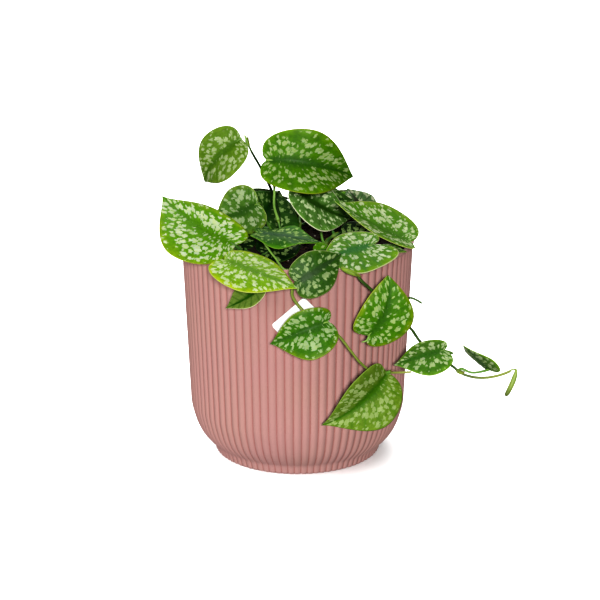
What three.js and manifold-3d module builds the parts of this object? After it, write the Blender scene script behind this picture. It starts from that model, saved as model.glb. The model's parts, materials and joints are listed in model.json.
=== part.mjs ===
// Satin pothos (Scindapsus pictus) in a ribbed plastic pot.
// Units are millimetres, +Z is up, and the origin is the centre of the pot's flat base.
// The front of the plant looks along -Y, and +X is on its right.
import * as THREE from "three";
import { mergeVertices } from "three/addons/utils/BufferGeometryUtils.js";
import Module from "manifold-3d";

const wasm = await Module();
wasm.setup();

// ---------------------------------------------------------------- driving dimensions

// Pot: a straight ribbed wall that opens a little upwards, a round belly and a short foot.
const POT_HEIGHT = 175;
const LIP_RADIUS = 92;
const LIP_HEIGHT = 2.4;
const LIP_DRAFT = 0.4; // how much the smooth lip narrows towards its top
const WALL = 3;
const FLOOR = 4;
const RIB_COUNT = 82;
const RIB_DEPTH = 1.3;
const RIB_RUN_OUT = 1.2; // height over which the ribs fade into the lip
const RIB_SHOULDER = 0.26; // where a rib's flank ends, as a share of the rib's width
// Height and radius over the crests of the ribs, from the base up.
const POT_PROFILE = [
  [0, 66],
  [7.5, 68.6],
  [9.2, 70.4],
  [14.5, 75.7],
  [23, 80.5],
  [38, 85.5],
  [POT_HEIGHT - LIP_HEIGHT - RIB_RUN_OUT, LIP_RADIUS - 0.8],
];
// Height and radius of the smooth inside, from the floor up.
const CAVITY_PROFILE = [
  [FLOOR, 64.5],
  [22, 76.2],
  [46, 83],
  [POT_HEIGHT, LIP_RADIUS - WALL],
];
const CAVITY_SIDES = 44;

// Soil: fills the pot to just below the lip, with a lumpy top.
const SOIL_LEVEL = 160;
const SOIL_MOUND = 2.5; // how much higher the soil stands in the middle
const SOIL_LUMP = 1.2; // height of the lumps
const SOIL_RIPPLES = [3.4, 5.9]; // lengths that set how close the lumps stand
const SOIL_RINGS = 4;
const GAP = 0.4; // clearance between pieces that touch

// Vines and leaf stalks.
const VINE_RADIUS = 1.4;
const VINE_TAPER = 0.45; // share of its radius that a vine loses towards its tip
const VINE_SIDES = 7;
const VINE_STEP = 7; // length of a vine between two rings
const VINE_ROOT_DEPTH = 26; // how far a vine stands in the soil
const NODE_SWELL = 0.5; // how much thicker the vine is at a leaf node
const NODE_LENGTH = 3; // how far that swelling reaches each way
const SHOOT_RADIUS = 1.2; // of a side shoot, at its foot
const SHOOT_TIP_RADIUS = 0.5;
const STALK_RADIUS = 1.05;
const STALK_SIDES = 5;
const STALK_STEP = 7;
const STALK_CLEARANCE = 1.1; // between a stalk and the vine it leaves
const STALK_END = 0.75; // radius where the stalk runs out under the blade
const STALK_UNDER_BLADE = 5; // how far the stalk runs on under the midrib
const HOLE_RADIUS = 3.2;
const HOLE_SIDES = 10;

// Blades.
const BLADE_THICKNESS = 0.8;
const BLADE_STEPS = 8; // cells from the joint to the tip along each margin
const BLADE_CELLS = 2; // cells from the midrib to the margin
const WIDEST = 0.33; // where the blade is widest, as a share of its length
const TIP_FULLNESS = 0.12; // half width close to the drawn-out tip
const WAVE_START = 2.6; // phase of a rippled margin at the joint, in radians
const WAVE_OFFSET = 1.6; // how far the two margins are out of step

// Young leaf at the tip of the right vine, still rolled up.
const ROLLED_LEAF = [[170, -32.3, 75.6], [172.5, -32, 76], [172, -32.5, 70], [169, -34, 63], [164.5, -36, 54]];
const ROLLED_RADIUS = 2.1;
const ROLLED_STALK = 3; // length of its stalk
const ROLLED_STALK_RADIUS = 0.7;
const ROLLED_STEP = 2.5; // length between two rings

// Care label: a blank white card bent round the pot.
const LABEL_WIDTH = 34;
const LABEL_HEIGHT = 31;
const LABEL_CORNER = 2.5;
const LABEL_CORNER_STEPS = 3;
const LABEL_THICKNESS = 0.7;
const LABEL_CENTRE = [3, 131]; // across the front, and up
const LABEL_TURN = 43; // degrees

const COLOURS = {
  pot: 0xc88f86,
  soil: 0x2e2119,
  vine: 0x4c7a2c,
  label: 0xf4f4f2,
  lime: 0x8fb51f,
  bright: 0x4f9a1c,
  middle: 0x3d7d2a,
  olive: 0x5f8f26,
  deep: 0x2c5a24,
  dark: 0x1d3f1a,
};

// ---------------------------------------------------------------- the plant's layout

// Each vine is a list of points from the soil to its growing tip.
const VINES = {
  vine_right: [
    [24, -50, 168], [31, -66, 175], [37.5, -78, 178.2], [42.5, -86.5, 174.8], [46.5, -89, 168],
    [56, -83.5, 157], [71, -70, 138], [88, -52, 115.5], [96, -42, 101.5], [109, -34, 87],
    [122, -32, 78], [129, -33, 72.5], [138, -34, 69.5], [150, -34, 69], [162, -33, 71.5],
    [169, -32.5, 74.5],
  ],
  vine_front: [
    [10, -56, 168], [8, -76, 177.5], [4, -90, 178.8], [1.5, -95.5, 175], [-1, -96.5, 168],
    [-4, -96.5, 158], [3, -97, 146.5], [17, -98.5, 136], [31, -98.5, 125.5], [40, -96, 113], [48, -93, 102],
    [58, -88, 93], [74, -78, 89], [88, -71, 87],
  ],
  vine_top_left: [
    [-14, 14, 168], [-15, 15, 190], [-21, 8, 212], [-29, 2, 231], [-35, -2, 243],
    [-38, -4, 250], [-41, -6, 259],
  ],
  vine_centre: [[-6, -18, 168], [-9, -16, 176], [-13, -14, 184], [-15, -13, 192]],
  vine_left: [[-30, -36, 168], [-36, -46, 172.5], [-41, -56, 176], [-44, -64, 180]],
  vine_back_right: [[24, 12, 168], [32, 10, 174], [44, 6, 178], [56, -2, 180], [66, -12, 183]],
  vine_back: [
    [2, 42, 168], [2, 54, 176], [4, 70, 182], [6, 86, 184], [8, 99, 178], [9, 103, 165],
    [10, 102, 148], [13, 101, 132],
  ],
};
// A leafless side shoot of a vine, as a list of points.
const SIDE_SHOOTS = {
  vine_right: [[75, -66, 133], [81, -69, 142], [87, -72, 149], [91, -73.5, 149], [95, -75, 144.5]],
};

// Each leaf: the joint of stalk and blade, the tip, and the way the upper face looks
// (degrees round from the front towards +X, and degrees up). The shape is the full width,
// the arch of the midrib, the upward fold of the halves, the downward curl of the margins,
// the reach of the two lobes behind the joint, the skew that widens one half, and the
// sideways bow of the midrib, as shares of the blade's length or half width. A wave is the
// height of the margin's ripple. `vine`, `at` and `via` say where the stalk leaves its
// vine, from 0 at the soil to 1 at the tip, and which points it passes.
const LEAVES = [
  {
    name: "leaf_top_left", colour: "olive",
    joint: [-44, -5, 255], tip: [-73, 12, 216], faces: [-44, 6], width: 42,
    arch: 0.18, fold: 0.3, curl: 0.08, lobes: [0.04, 0.04], skew: 0.07,
    vine: "vine_top_left", at: 0.92, via: [[-43.6, -4, 253.5]],
  },
  {
    name: "leaf_top", colour: "bright",
    joint: [-23, -20, 242], tip: [44, 2, 223], faces: [25, 23], width: 52,
    arch: 0.19, fold: 0.44, curl: 0, lobes: [0.07, 0.07], skew: -0.03,
    vine: "vine_centre", at: 1, via: [[-18, -13, 203], [-18, -11, 219], [-21, -11, 235]],
  },
  {
    name: "leaf_left_rim", colour: "lime",
    joint: [-48, -58, 185.5], tip: [-105, -19, 213.5], faces: [3, 56], width: 57,
    arch: 0.08, fold: 0.14, curl: 0.09, lobes: [0.05, 0.05], skew: 0.28, bow: 0.1,
    vine: "vine_left", at: 0.5, via: [[-42, -54, 179]],
  },
  {
    name: "leaf_front_left", colour: "lime",
    joint: [-53.5, -96, 184.6], tip: [1, -121, 169.7], faces: [11, 66], width: 45,
    arch: -0.02, fold: -0.08, curl: 0.03, lobes: [0.06, 0.12], skew: -0.06, bow: 0.03,
    vine: "vine_left", at: 1, via: [[-48, -78, 185.5], [-50.5, -88, 186.3]],
  },
  {
    name: "leaf_front_left_low", colour: "deep",
    joint: [-27, -96.5, 164.2], tip: [-54, -100, 148], faces: [-40, 35], width: 27,
    arch: -0.05, fold: 0.08, curl: 0.05, lobes: [0.1, 0.1], skew: -0.25, bow: 0.04,
    vine: "vine_left", at: 0.4, via: [[-33, -62, 176], [-32, -80, 178.5], [-28, -93, 175], [-26, -97, 169]],
  },
  {
    name: "leaf_left_inner", colour: "middle",
    joint: [-31, -20, 207], tip: [-68, 0, 184], faces: [-15, 5], width: 40,
    arch: -0.03, fold: 0.05, curl: 0.1, lobes: [0.07, 0.07],
    vine: "vine_top_left", at: 0.1, via: [[-24, 2, 186], [-28, -8, 202]],
  },
  {
    name: "leaf_back_dark", colour: "dark",
    joint: [-31, 27, 177], tip: [-14, 56, 198], faces: [20, 40], width: 50,
    arch: 0.05, fold: 0.15, curl: 0, lobes: [0.1, 0.1], skew: -0.15,
    vine: "vine_top_left", at: 0.05, via: [[-22, 19, 175]],
  },
  {
    name: "leaf_centre_wavy", colour: "deep",
    joint: [-29, -45, 191], tip: [20, -54, 185], faces: [10, 80], width: 32,
    arch: 0.02, fold: 0, curl: 0, lobes: [0.12, 0.12], wave: 4,
    vine: "vine_front", at: 0.06, via: [[0, -73, 172], [-9, -74, 170], [-17, -62, 176], [-26, -49, 185]],
  },
  {
    name: "leaf_centre_right", colour: "middle",
    joint: [-1, 0, 213], tip: [43, 19, 184], faces: [44, 30], width: 43,
    arch: 0.08, fold: 0.21, curl: 0.04, lobes: [0.11, 0.11], skew: -0.11, bow: -0.11,
    vine: "vine_back_right", at: 0.1, via: [[16, 16, 186], [2, 10, 204]],
  },
  {
    name: "leaf_right", colour: "middle",
    joint: [86, -38, 182], tip: [28, -35, 214], faces: [62, 59], width: 51,
    arch: -0.04, fold: 0.19, curl: 0, lobes: [0.08, 0.08], skew: -0.2, bow: -0.02,
    vine: "vine_back_right", at: 1, via: [[76, -24, 183], [85, -33, 181]],
  },
  {
    name: "leaf_back_right", colour: "dark",
    joint: [8, 36, 192], tip: [45, 48, 192], faces: [5, 45], width: 32,
    arch: 0.08, fold: 0.1, curl: 0.05, lobes: [0.1, 0.1],
    vine: "vine_back_right", at: 0.25, via: [[22, 24, 182], [10, 32, 188]],
  },
  {
    name: "leaf_far_right", colour: "deep",
    joint: [54, 43, 181], tip: [40, 62, 198], faces: [20, 35], width: 30,
    arch: 0.08, fold: 0.1, curl: 0.05, lobes: [0.1, 0.1],
    vine: "vine_back_right", at: 0.5, via: [[46, 22, 180], [53, 36, 179]],
  },
  {
    name: "leaf_right_rim", colour: "middle",
    joint: [59, -69.5, 189.3], tip: [16, -89, 180.2], faces: [12, 55], width: 45,
    arch: -0.02, fold: 0, curl: 0.06, lobes: [0.26, 0.26], skew: -0.02, bow: -0.05,
    vine: "vine_right", at: 0.1, via: [[36, -58, 182], [52, -60, 186]],
  },
  {
    name: "leaf_front_centre", colour: "deep",
    joint: [0, -106, 170.4], tip: [33, -82.5, 185.5], faces: [29, 27], width: 34,
    arch: 0.15, fold: 0, curl: 0.12, lobes: [0.05, 0.08], skew: -0.09,
    vine: "vine_front", at: 0.26, via: [[-2, -104.8, 167.5]],
  },
  {
    name: "leaf_hanging_front", colour: "bright",
    joint: [22, -106, 139], tip: [-21, -104, 121], faces: [-9, 16], width: 38,
    arch: 0.12, fold: 0.26, curl: 0.04, lobes: [0.11, 0.11], skew: 0.22,
    vine: "vine_front", at: 0.53, via: [[30, -104, 134], [28, -107, 139]],
  },
  {
    name: "leaf_hanging_right", colour: "bright",
    joint: [54, -92, 124], tip: [68, -87, 170], faces: [8, 5], width: 43,
    arch: 0.05, fold: 0.1, curl: 0.1, lobes: [0.02, 0.17], skew: -0.12, bow: -0.09,
    vine: "vine_right", at: 0.4, via: [[66, -80, 132], [57, -90, 120]],
  },
  {
    name: "leaf_hanging_low", colour: "olive",
    joint: [68, -84, 90], tip: [18, -97, 53], faces: [22, 0], width: 48,
    arch: 0.1, fold: 0.35, curl: 0.05, lobes: [0.06, 0.02], skew: 0.1, bow: 0.04,
    vine: "vine_front", at: 0.88, via: [[71, -85, 92]],
  },
  {
    name: "leaf_trailing", colour: "middle",
    joint: [113, -55, 99], tip: [74, -64, 90], faces: [-1, 48], width: 31,
    arch: 0.02, fold: 0.04, curl: 0.04, lobes: [0.12, 0.12], skew: 0.2,
    vine: "vine_right", at: 0.7, via: [[121, -42, 92]],
  },
  {
    name: "leaf_trailing_folded", colour: "deep",
    joint: [151, -33, 77], tip: [129, -42, 99], faces: [-50, -40], width: 26,
    arch: 0.01, fold: 0, curl: 0.18, lobes: [0.12, 0.12],
    vine: "vine_right", at: 0.78, via: [[140.5, -35.5, 75], [147, -34, 76]],
  },
  {
    name: "leaf_inner_front", colour: "dark",
    joint: [-24, -48, 176], tip: [6, -26, 184], faces: [8, 58], width: 32,
    arch: 0.06, fold: 0.08, curl: 0.06, lobes: [0.1, 0.1],
    vine: "vine_left", at: 0.2, via: [[-27, -44, 173]],
  },
  {
    name: "leaf_inner_left", colour: "dark",
    joint: [-41, -32, 175], tip: [-57, -12, 181], faces: [20, 50], width: 26,
    arch: 0.06, fold: 0.08, curl: 0.06, lobes: [0.1, 0.1],
    vine: "vine_left", at: 0.2, via: [[-38, -36, 173]],
  },
  {
    name: "leaf_inner_small", colour: "bright",
    joint: [14, -66, 181.5], tip: [28, -63, 183], faces: [-10, 50], width: 16,
    arch: 0.06, fold: 0.1, curl: 0.04, lobes: [0.1, 0.1],
    vine: "vine_front", at: 0.07, via: [[14, -63, 178]],
  },
  {
    name: "leaf_inner_right", colour: "dark",
    joint: [36, -16, 179], tip: [62, -14, 174], faces: [10, 42], width: 30,
    arch: 0.06, fold: 0.08, curl: 0.06, lobes: [0.1, 0.1],
    vine: "vine_right", at: 0.05, via: [[34, -40, 174], [37, -26, 176]],
  },
  {
    name: "leaf_right_under", colour: "deep",
    joint: [58, -40, 175], tip: [84, -52, 177.5], faces: [15, 75], width: 20,
    arch: 0.06, fold: 0.08, curl: 0.06, lobes: [0.1, 0.1],
    vine: "vine_right", at: 0.06, via: [[38, -50, 177], [50, -42, 175]],
  },
  {
    name: "leaf_back_left", colour: "deep",
    joint: [-16, 70, 190], tip: [-54, 84, 172], faces: [200, 50], width: 42,
    arch: 0.1, fold: 0.12, curl: 0.06, lobes: [0.1, 0.1],
    vine: "vine_back", at: 0.22, via: [[-8, 64, 186]],
  },
  {
    name: "leaf_back_rim", colour: "middle",
    joint: [28, 84, 188], tip: [62, 108, 160], faces: [150, 40], width: 46,
    arch: 0.1, fold: 0.12, curl: 0.06, lobes: [0.1, 0.1],
    vine: "vine_back", at: 0.4, via: [[20, 80, 188]],
  },
  {
    name: "leaf_back_hanging", colour: "bright",
    joint: [-2, 110, 164], tip: [-24, 112, 122], faces: [185, 15], width: 42,
    arch: 0.1, fold: 0.12, curl: 0.06, lobes: [0.1, 0.1],
    vine: "vine_back", at: 0.6, via: [[3, 111, 166]],
  },
  {
    name: "leaf_back_low", colour: "bright",
    joint: [22, 106, 128], tip: [40, 104, 96], faces: [170, 10], width: 32,
    arch: 0.1, fold: 0.12, curl: 0.06, lobes: [0.1, 0.1],
    vine: "vine_back", at: 1, via: [[16, 104, 128]],
  },
  {
    name: "leaf_back_inner", colour: "deep",
    joint: [28, 60, 184], tip: [58, 56, 182], faces: [20, 40], width: 26,
    arch: 0.08, fold: 0.1, curl: 0.05, lobes: [0.1, 0.1],
    vine: "vine_back", at: 0.12, via: [[14, 56, 178]],
  },
];

// ---------------------------------------------------------------- geometry helpers

const vec = (point) => new THREE.Vector3(...point);

// A closed geometry from loose triangles, with shared corners merged and slivers dropped.
function closedGeometry(corners) {
  const loose = new THREE.BufferGeometry();
  const numbers = corners.flatMap((corner) => [corner.x, corner.y, corner.z]);
  loose.setAttribute("position", new THREE.Float32BufferAttribute(numbers, 3));
  const merged = mergeVertices(loose, 1e-4);
  const kept = [];
  const index = merged.index.array;
  for (let i = 0; i < index.length; i += 3) {
    const [a, b, c] = [index[i], index[i + 1], index[i + 2]];
    if (a !== b && b !== c && c !== a) kept.push(a, b, c);
  }
  merged.setIndex(kept);
  return merged;
}

function toSolid(geometry) {
  const bare = geometry.clone();
  bare.deleteAttribute("normal");
  bare.deleteAttribute("uv");
  const merged = mergeVertices(bare, 1e-4);
  const mesh = new wasm.Mesh({
    numProp: 3,
    vertProperties: new Float32Array(merged.attributes.position.array),
    triVerts: new Uint32Array(merged.index.array),
  });
  return new wasm.Manifold(mesh);
}

function fromSolid(solid) {
  const mesh = solid.getMesh();
  const geometry = new THREE.BufferGeometry();
  geometry.setAttribute("position", new THREE.BufferAttribute(mesh.vertProperties, 3));
  geometry.setIndex(new THREE.BufferAttribute(mesh.triVerts, 1));
  return geometry;
}

// Rings of points, joined in order and closed by a fan at each end.
function closedRings(rings) {
  const corners = [];
  const sides = rings[0].length;
  for (let i = 0; i + 1 < rings.length; i += 1) {
    for (let j = 0; j < sides; j += 1) {
      const k = (j + 1) % sides;
      corners.push(rings[i][j], rings[i][k], rings[i + 1][k]);
      corners.push(rings[i][j], rings[i + 1][k], rings[i + 1][j]);
    }
  }
  const ends = [[rings[0], true], [rings[rings.length - 1], false]];
  for (const [ring, first] of ends) {
    const middle = new THREE.Vector3();
    ring.forEach((point) => middle.addScaledVector(point, 1 / sides));
    for (let j = 0; j < sides; j += 1) {
      const k = (j + 1) % sides;
      if (first) corners.push(middle, ring[k], ring[j]);
      else corners.push(middle, ring[j], ring[k]);
    }
  }
  return closedGeometry(corners);
}

// A tube along a curve, whose radius is a function of the distance along it.
function tube(curve, sides, step, radiusAt) {
  const length = curve.getLength();
  const steps = Math.max(3, Math.round(length / step));
  const frames = curve.computeFrenetFrames(steps, false);
  const rings = [];
  for (let i = 0; i <= steps; i += 1) {
    const centre = curve.getPointAt(i / steps);
    const radius = radiusAt((i / steps) * length, length);
    const ring = [];
    for (let j = 0; j < sides; j += 1) {
      const angle = (2 * Math.PI * j) / sides;
      ring.push(
        centre
          .clone()
          .addScaledVector(frames.normals[i], radius * Math.cos(angle))
          .addScaledVector(frames.binormals[i], radius * Math.sin(angle)),
      );
    }
    rings.push(ring);
  }
  return closedRings(rings);
}

// ---------------------------------------------------------------- pot, soil and label

const ringAt = (height, radiusAt, count) =>
  Array.from({ length: count }, (_, i) => {
    const angle = (2 * Math.PI * i) / count;
    const radius = radiusAt(i, angle);
    return new THREE.Vector3(radius * Math.cos(angle), radius * Math.sin(angle), height);
  });

function potGeometry() {
  const pointsPerRib = 3; // the groove and the rib's two shoulders
  const count = RIB_COUNT * pointsPerRib;
  const ribRing = (height, radius) =>
    Array.from({ length: count }, (_, i) => {
      const rib = Math.floor(i / pointsPerRib);
      const share = [0, RIB_SHOULDER, 1 - RIB_SHOULDER][i % pointsPerRib];
      const angle = (2 * Math.PI * (rib + share)) / RIB_COUNT;
      const reach = share === 0 ? radius - RIB_DEPTH : radius;
      return new THREE.Vector3(reach * Math.cos(angle), reach * Math.sin(angle), height);
    });
  const smoothRing = (height, radius) =>
    ribRing(0, radius).map((point) => point.setLength(radius).setZ(height));
  const rings = POT_PROFILE.map(([height, radius]) => ribRing(height, radius));
  const lipFoot = POT_HEIGHT - LIP_HEIGHT;
  rings.push(smoothRing(lipFoot, LIP_RADIUS));
  rings.push(smoothRing(POT_HEIGHT, LIP_RADIUS - LIP_DRAFT));
  const above = 5; // the cutter stands out over the lip
  const profile = [new THREE.Vector2(0, FLOOR)];
  CAVITY_PROFILE.forEach(([height, radius]) => profile.push(new THREE.Vector2(radius, height)));
  profile.push(new THREE.Vector2(LIP_RADIUS - WALL, POT_HEIGHT + above));
  profile.push(new THREE.Vector2(0, POT_HEIGHT + above));
  const cavity = new THREE.LatheGeometry(profile, CAVITY_SIDES);
  cavity.rotateX(Math.PI / 2);
  return fromSolid(toSolid(closedRings(rings)).subtract(toSolid(cavity)));
}

// Radius of the pot's inside at a height.
function cavityRadius(height) {
  const upper = CAVITY_PROFILE.findIndex(([level]) => level >= height);
  const [low, high] = [CAVITY_PROFILE[upper - 1], CAVITY_PROFILE[upper]];
  return THREE.MathUtils.mapLinear(height, low[0], high[0], low[1], high[1]);
}

// Height of the soil's lumpy top: two ripples of unlike length over a low mound.
function soilHeight(x, y) {
  const mound = SOIL_MOUND * (1 - (x * x + y * y) / LIP_RADIUS ** 2);
  const [short, long] = SOIL_RIPPLES;
  const lumps = Math.sin(x / short) * Math.cos(y / short) + Math.sin((x + y) / long);
  return SOIL_LEVEL + mound + (SOIL_LUMP * lumps) / 2;
}

function soilGeometry(holes) {
  const levels = [[FLOOR + GAP, CAVITY_PROFILE[0][1] - GAP]];
  CAVITY_PROFILE.slice(1, -1).forEach(([height, radius]) => levels.push([height, radius - GAP]));
  const rim = cavityRadius(SOIL_LEVEL) - GAP;
  const rings = levels.map(([height, radius]) => ringAt(height, () => radius, CAVITY_SIDES));
  const onTop = (radius) =>
    ringAt(0, () => radius, CAVITY_SIDES).map((point) =>
      point.setZ(soilHeight(point.x, point.y)),
    );
  for (let i = 0; i < SOIL_RINGS; i += 1) rings.push(onTop(rim * (1 - i / SOIL_RINGS)));
  let solid = toSolid(closedRings(rings));
  for (const [x, y] of holes) {
    const depth = 2 * VINE_ROOT_DEPTH; // well past the soil's top
    const hole = new THREE.CylinderGeometry(HOLE_RADIUS, HOLE_RADIUS, depth, HOLE_SIDES);
    hole.rotateX(Math.PI / 2);
    hole.translate(x, y, SOIL_LEVEL - VINE_ROOT_DEPTH - GAP + depth / 2);
    solid = solid.subtract(toSolid(hole));
  }
  return fromSolid(solid);
}

function labelGeometry() {
  const [w, h, r] = [LABEL_WIDTH / 2, LABEL_HEIGHT / 2, LABEL_CORNER];
  const outline = new THREE.Shape();
  outline.moveTo(-w + r, -h);
  outline.lineTo(w - r, -h).quadraticCurveTo(w, -h, w, -h + r);
  outline.lineTo(w, h - r).quadraticCurveTo(w, h, w - r, h);
  outline.lineTo(-w + r, h).quadraticCurveTo(-w, h, -w, h - r);
  outline.lineTo(-w, -h + r).quadraticCurveTo(-w, -h, -w + r, -h);
  const reach = LABEL_WIDTH; // more than the card bends back
  const settings = { depth: reach, bevelEnabled: false, curveSegments: LABEL_CORNER_STEPS };
  const cutter = new THREE.ExtrudeGeometry(outline, settings);
  cutter.rotateZ(THREE.MathUtils.degToRad(LABEL_TURN));
  cutter.rotateX(Math.PI / 2);
  cutter.translate(LABEL_CENTRE[0], -LIP_RADIUS + reach / 2, LABEL_CENTRE[1]);
  // The card follows the taper of the wall, just clear of the crests of the ribs.
  const [low, high] = POT_PROFILE.slice(-2);
  const at = (height, out) =>
    new THREE.Vector2(
      THREE.MathUtils.mapLinear(height, low[0], high[0], low[1], high[1]) + out,
      height,
    );
  const [bottom, top] = [LABEL_CENTRE[1] - LABEL_WIDTH, LABEL_CENTRE[1] + LABEL_WIDTH];
  const inner = GAP;
  const outer = GAP + LABEL_THICKNESS;
  const profile = [at(bottom, inner), at(bottom, outer), at(top, outer), at(top, inner)];
  const sides = CAVITY_SIDES * 3; // a closer curve than the pot's inside
  const shell = new THREE.LatheGeometry([...profile, profile[0]], sides);
  shell.rotateX(Math.PI / 2);
  return fromSolid(toSolid(shell).intersect(toSolid(cutter)));
}

// ---------------------------------------------------------------- vines

function vineCurve(points) {
  const [x, y] = points[0];
  const roots = [1, 0.5].map((share) => [x, y, SOIL_LEVEL - share * VINE_ROOT_DEPTH]);
  return new THREE.CatmullRomCurve3([...roots, ...points].map(vec), false, "centripetal");
}

// A vine thins towards its tip.
const vineTaper = (along) => 1 - VINE_TAPER * along ** 2;

// A place on a vine above the soil, from 0 at the soil to 1 at its tip.
function onVine(vine, share) {
  const curve = vineCurve(VINES[vine]);
  const length = curve.getLength();
  const buried = VINE_ROOT_DEPTH / length;
  const along = buried + share * (1 - buried);
  return { point: curve.getPointAt(along), tangent: curve.getTangentAt(along), along, length };
}

function vineGeometry(name) {
  const curve = vineCurve(VINES[name]);
  const nodes = LEAVES.filter((leaf) => leaf.vine === name).map((leaf) => {
    const { along, length } = onVine(name, leaf.at);
    return along * length;
  });
  const radiusAt = (distance, length) => {
    const swell = nodes.reduce(
      (most, node) => Math.max(most, 1 - Math.abs(distance - node) / NODE_LENGTH),
      0,
    );
    return VINE_RADIUS * vineTaper(distance / length) + NODE_SWELL * swell;
  };
  const stem = tube(curve, VINE_SIDES, VINE_STEP, radiusAt);
  if (!(name in SIDE_SHOOTS)) return stem;
  const shoot = new THREE.CatmullRomCurve3(SIDE_SHOOTS[name].map(vec), false, "centripetal");
  const shootRadius = (distance, length) =>
    THREE.MathUtils.lerp(SHOOT_RADIUS, SHOOT_TIP_RADIUS, distance / length);
  const side = tube(shoot, STALK_SIDES, STALK_STEP, shootRadius);
  return fromSolid(toSolid(stem).add(toSolid(side)));
}

// ---------------------------------------------------------------- leaves

// Direction of a face from degrees round from the front and degrees up.
function facing([round, up]) {
  const [a, e] = [THREE.MathUtils.degToRad(round), THREE.MathUtils.degToRad(up)];
  return new THREE.Vector3(Math.sin(a) * Math.cos(e), -Math.cos(a) * Math.cos(e), Math.sin(e));
}

// One margin of a blade, from the joint to the tip, as [along, across] in shares.
function marginPoints(lobe, steps) {
  const bezier = (...points) =>
    new THREE.CubicBezierCurve(...points.map(([x, y]) => new THREE.Vector2(x, y)));
  const path = new THREE.CurvePath();
  path.add(bezier([0, 0], [-0.5 * lobe, 0.03], [-lobe, 0.18], [-lobe, 0.42]));
  path.add(bezier([-lobe, 0.42], [-lobe, 0.74], [WIDEST - 0.25, 1], [WIDEST, 1]));
  path.add(bezier([WIDEST, 1], [WIDEST + 0.29, 1], [0.84, TIP_FULLNESS], [1, 0]));
  return path.getSpacedPoints(steps);
}

// The curved surface of a blade, as a function of the distance along and across it.
function bladeSurface(leaf) {
  const joint = vec(leaf.joint);
  const ahead = vec(leaf.tip).sub(joint);
  const length = ahead.length();
  ahead.normalize();
  const up = facing(leaf.faces);
  up.addScaledVector(ahead, -up.dot(ahead)).normalize();
  const aside = up.clone().cross(ahead);
  const half = leaf.width / 2;
  return (along, across) => {
    const s = along / length;
    const q = Math.abs(across) / half;
    const bulge = 4 * s * (1 - s);
    const phase = WAVE_START + (across > 0 ? WAVE_OFFSET : 0);
    const ripple = (leaf.wave ?? 0) * q * q * Math.sin(2 * Math.PI * s + phase);
    const lift = half * (leaf.fold * q - leaf.curl * q * q) + leaf.arch * length * bulge + ripple;
    return joint
      .clone()
      .addScaledVector(ahead, along)
      .addScaledVector(aside, across + (leaf.bow ?? 0) * length * bulge)
      .addScaledVector(up, lift);
  };
}

function bladeGeometry(leaf) {
  const surface = bladeSurface(leaf);
  const length = vec(leaf.tip).distanceTo(vec(leaf.joint));
  const corners = [];
  for (const side of [1, -1]) {
    const reach = (leaf.width / 2) * (1 + side * (leaf.skew ?? 0));
    const margin = marginPoints(leaf.lobes[side > 0 ? 0 : 1], BLADE_STEPS);
    // Veins run from the midrib out to the margin, and lean towards the tip.
    const grid = margin.map((edge, i) => {
      const foot = (i / BLADE_STEPS) ** 2;
      return Array.from({ length: BLADE_CELLS + 1 }, (_, j) => {
        const out = j / BLADE_CELLS;
        const along = THREE.MathUtils.lerp(foot, edge.x, out ** 1.2);
        return surface(along * length, side * edge.y * reach * out);
      });
    });
    for (let i = 0; i < BLADE_STEPS; i += 1) {
      for (let j = 0; j < BLADE_CELLS; j += 1) {
        const [a, b, c, d] = [grid[i][j], grid[i + 1][j], grid[i + 1][j + 1], grid[i][j + 1]];
        const turned = side > 0 ? [a, b, c, a, c, d] : [a, c, b, a, d, c];
        corners.push(...turned);
      }
    }
  }
  const sheet = closedGeometry(corners);
  return thicken(sheet, BLADE_THICKNESS);
}

// A closed solid from an open sheet: both faces split into triangles alike, and a side
// wall along each edge that only one triangle uses.
function thicken(sheet, thickness) {
  sheet.computeVertexNormals();
  const { position, normal } = sheet.attributes;
  const place = (i, side) =>
    new THREE.Vector3()
      .fromBufferAttribute(position, i)
      .addScaledVector(new THREE.Vector3().fromBufferAttribute(normal, i), (side * thickness) / 2);
  const index = sheet.index.array;
  const used = new Set();
  for (let i = 0; i < index.length; i += 3) {
    for (let k = 0; k < 3; k += 1) used.add(`${index[i + k]},${index[i + ((k + 1) % 3)]}`);
  }
  const corners = [];
  for (let i = 0; i < index.length; i += 3) {
    const tri = [index[i], index[i + 1], index[i + 2]];
    corners.push(...tri.map((v) => place(v, 1)));
    corners.push(...tri.toReversed().map((v) => place(v, -1)));
    for (let k = 0; k < 3; k += 1) {
      const [a, b] = [tri[k], tri[(k + 1) % 3]];
      if (used.has(`${b},${a}`)) continue;
      corners.push(place(a, 1), place(a, -1), place(b, -1));
      corners.push(place(a, 1), place(b, -1), place(b, 1));
    }
  }
  return closedGeometry(corners);
}

// The stalk starts just clear of its vine and runs out under the blade's midrib.
function stalkGeometry(leaf) {
  const { point, tangent, along } = onVine(leaf.vine, leaf.at);
  const first = vec(leaf.via[0]);
  const away = first.clone().sub(point);
  away.addScaledVector(tangent, -away.dot(tangent)).normalize();
  const beside = VINE_RADIUS * vineTaper(along) + NODE_SWELL + STALK_CLEARANCE;
  const start = point.clone();
  if (leaf.at === 1) start.addScaledVector(tangent, STALK_CLEARANCE);
  else start.addScaledVector(away, beside);
  const surface = bladeSurface(leaf);
  const points = [start, ...leaf.via.map(vec), surface(0, 0), surface(STALK_UNDER_BLADE, 0)];
  const curve = new THREE.CatmullRomCurve3(points, false, "centripetal");
  const radiusAt = (distance, total) => {
    const left = THREE.MathUtils.clamp((total - distance) / (2 * STALK_UNDER_BLADE), 0, 1);
    return THREE.MathUtils.lerp(STALK_END, STALK_RADIUS, left);
  };
  return tube(curve, STALK_SIDES, STALK_STEP, radiusAt);
}

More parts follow.
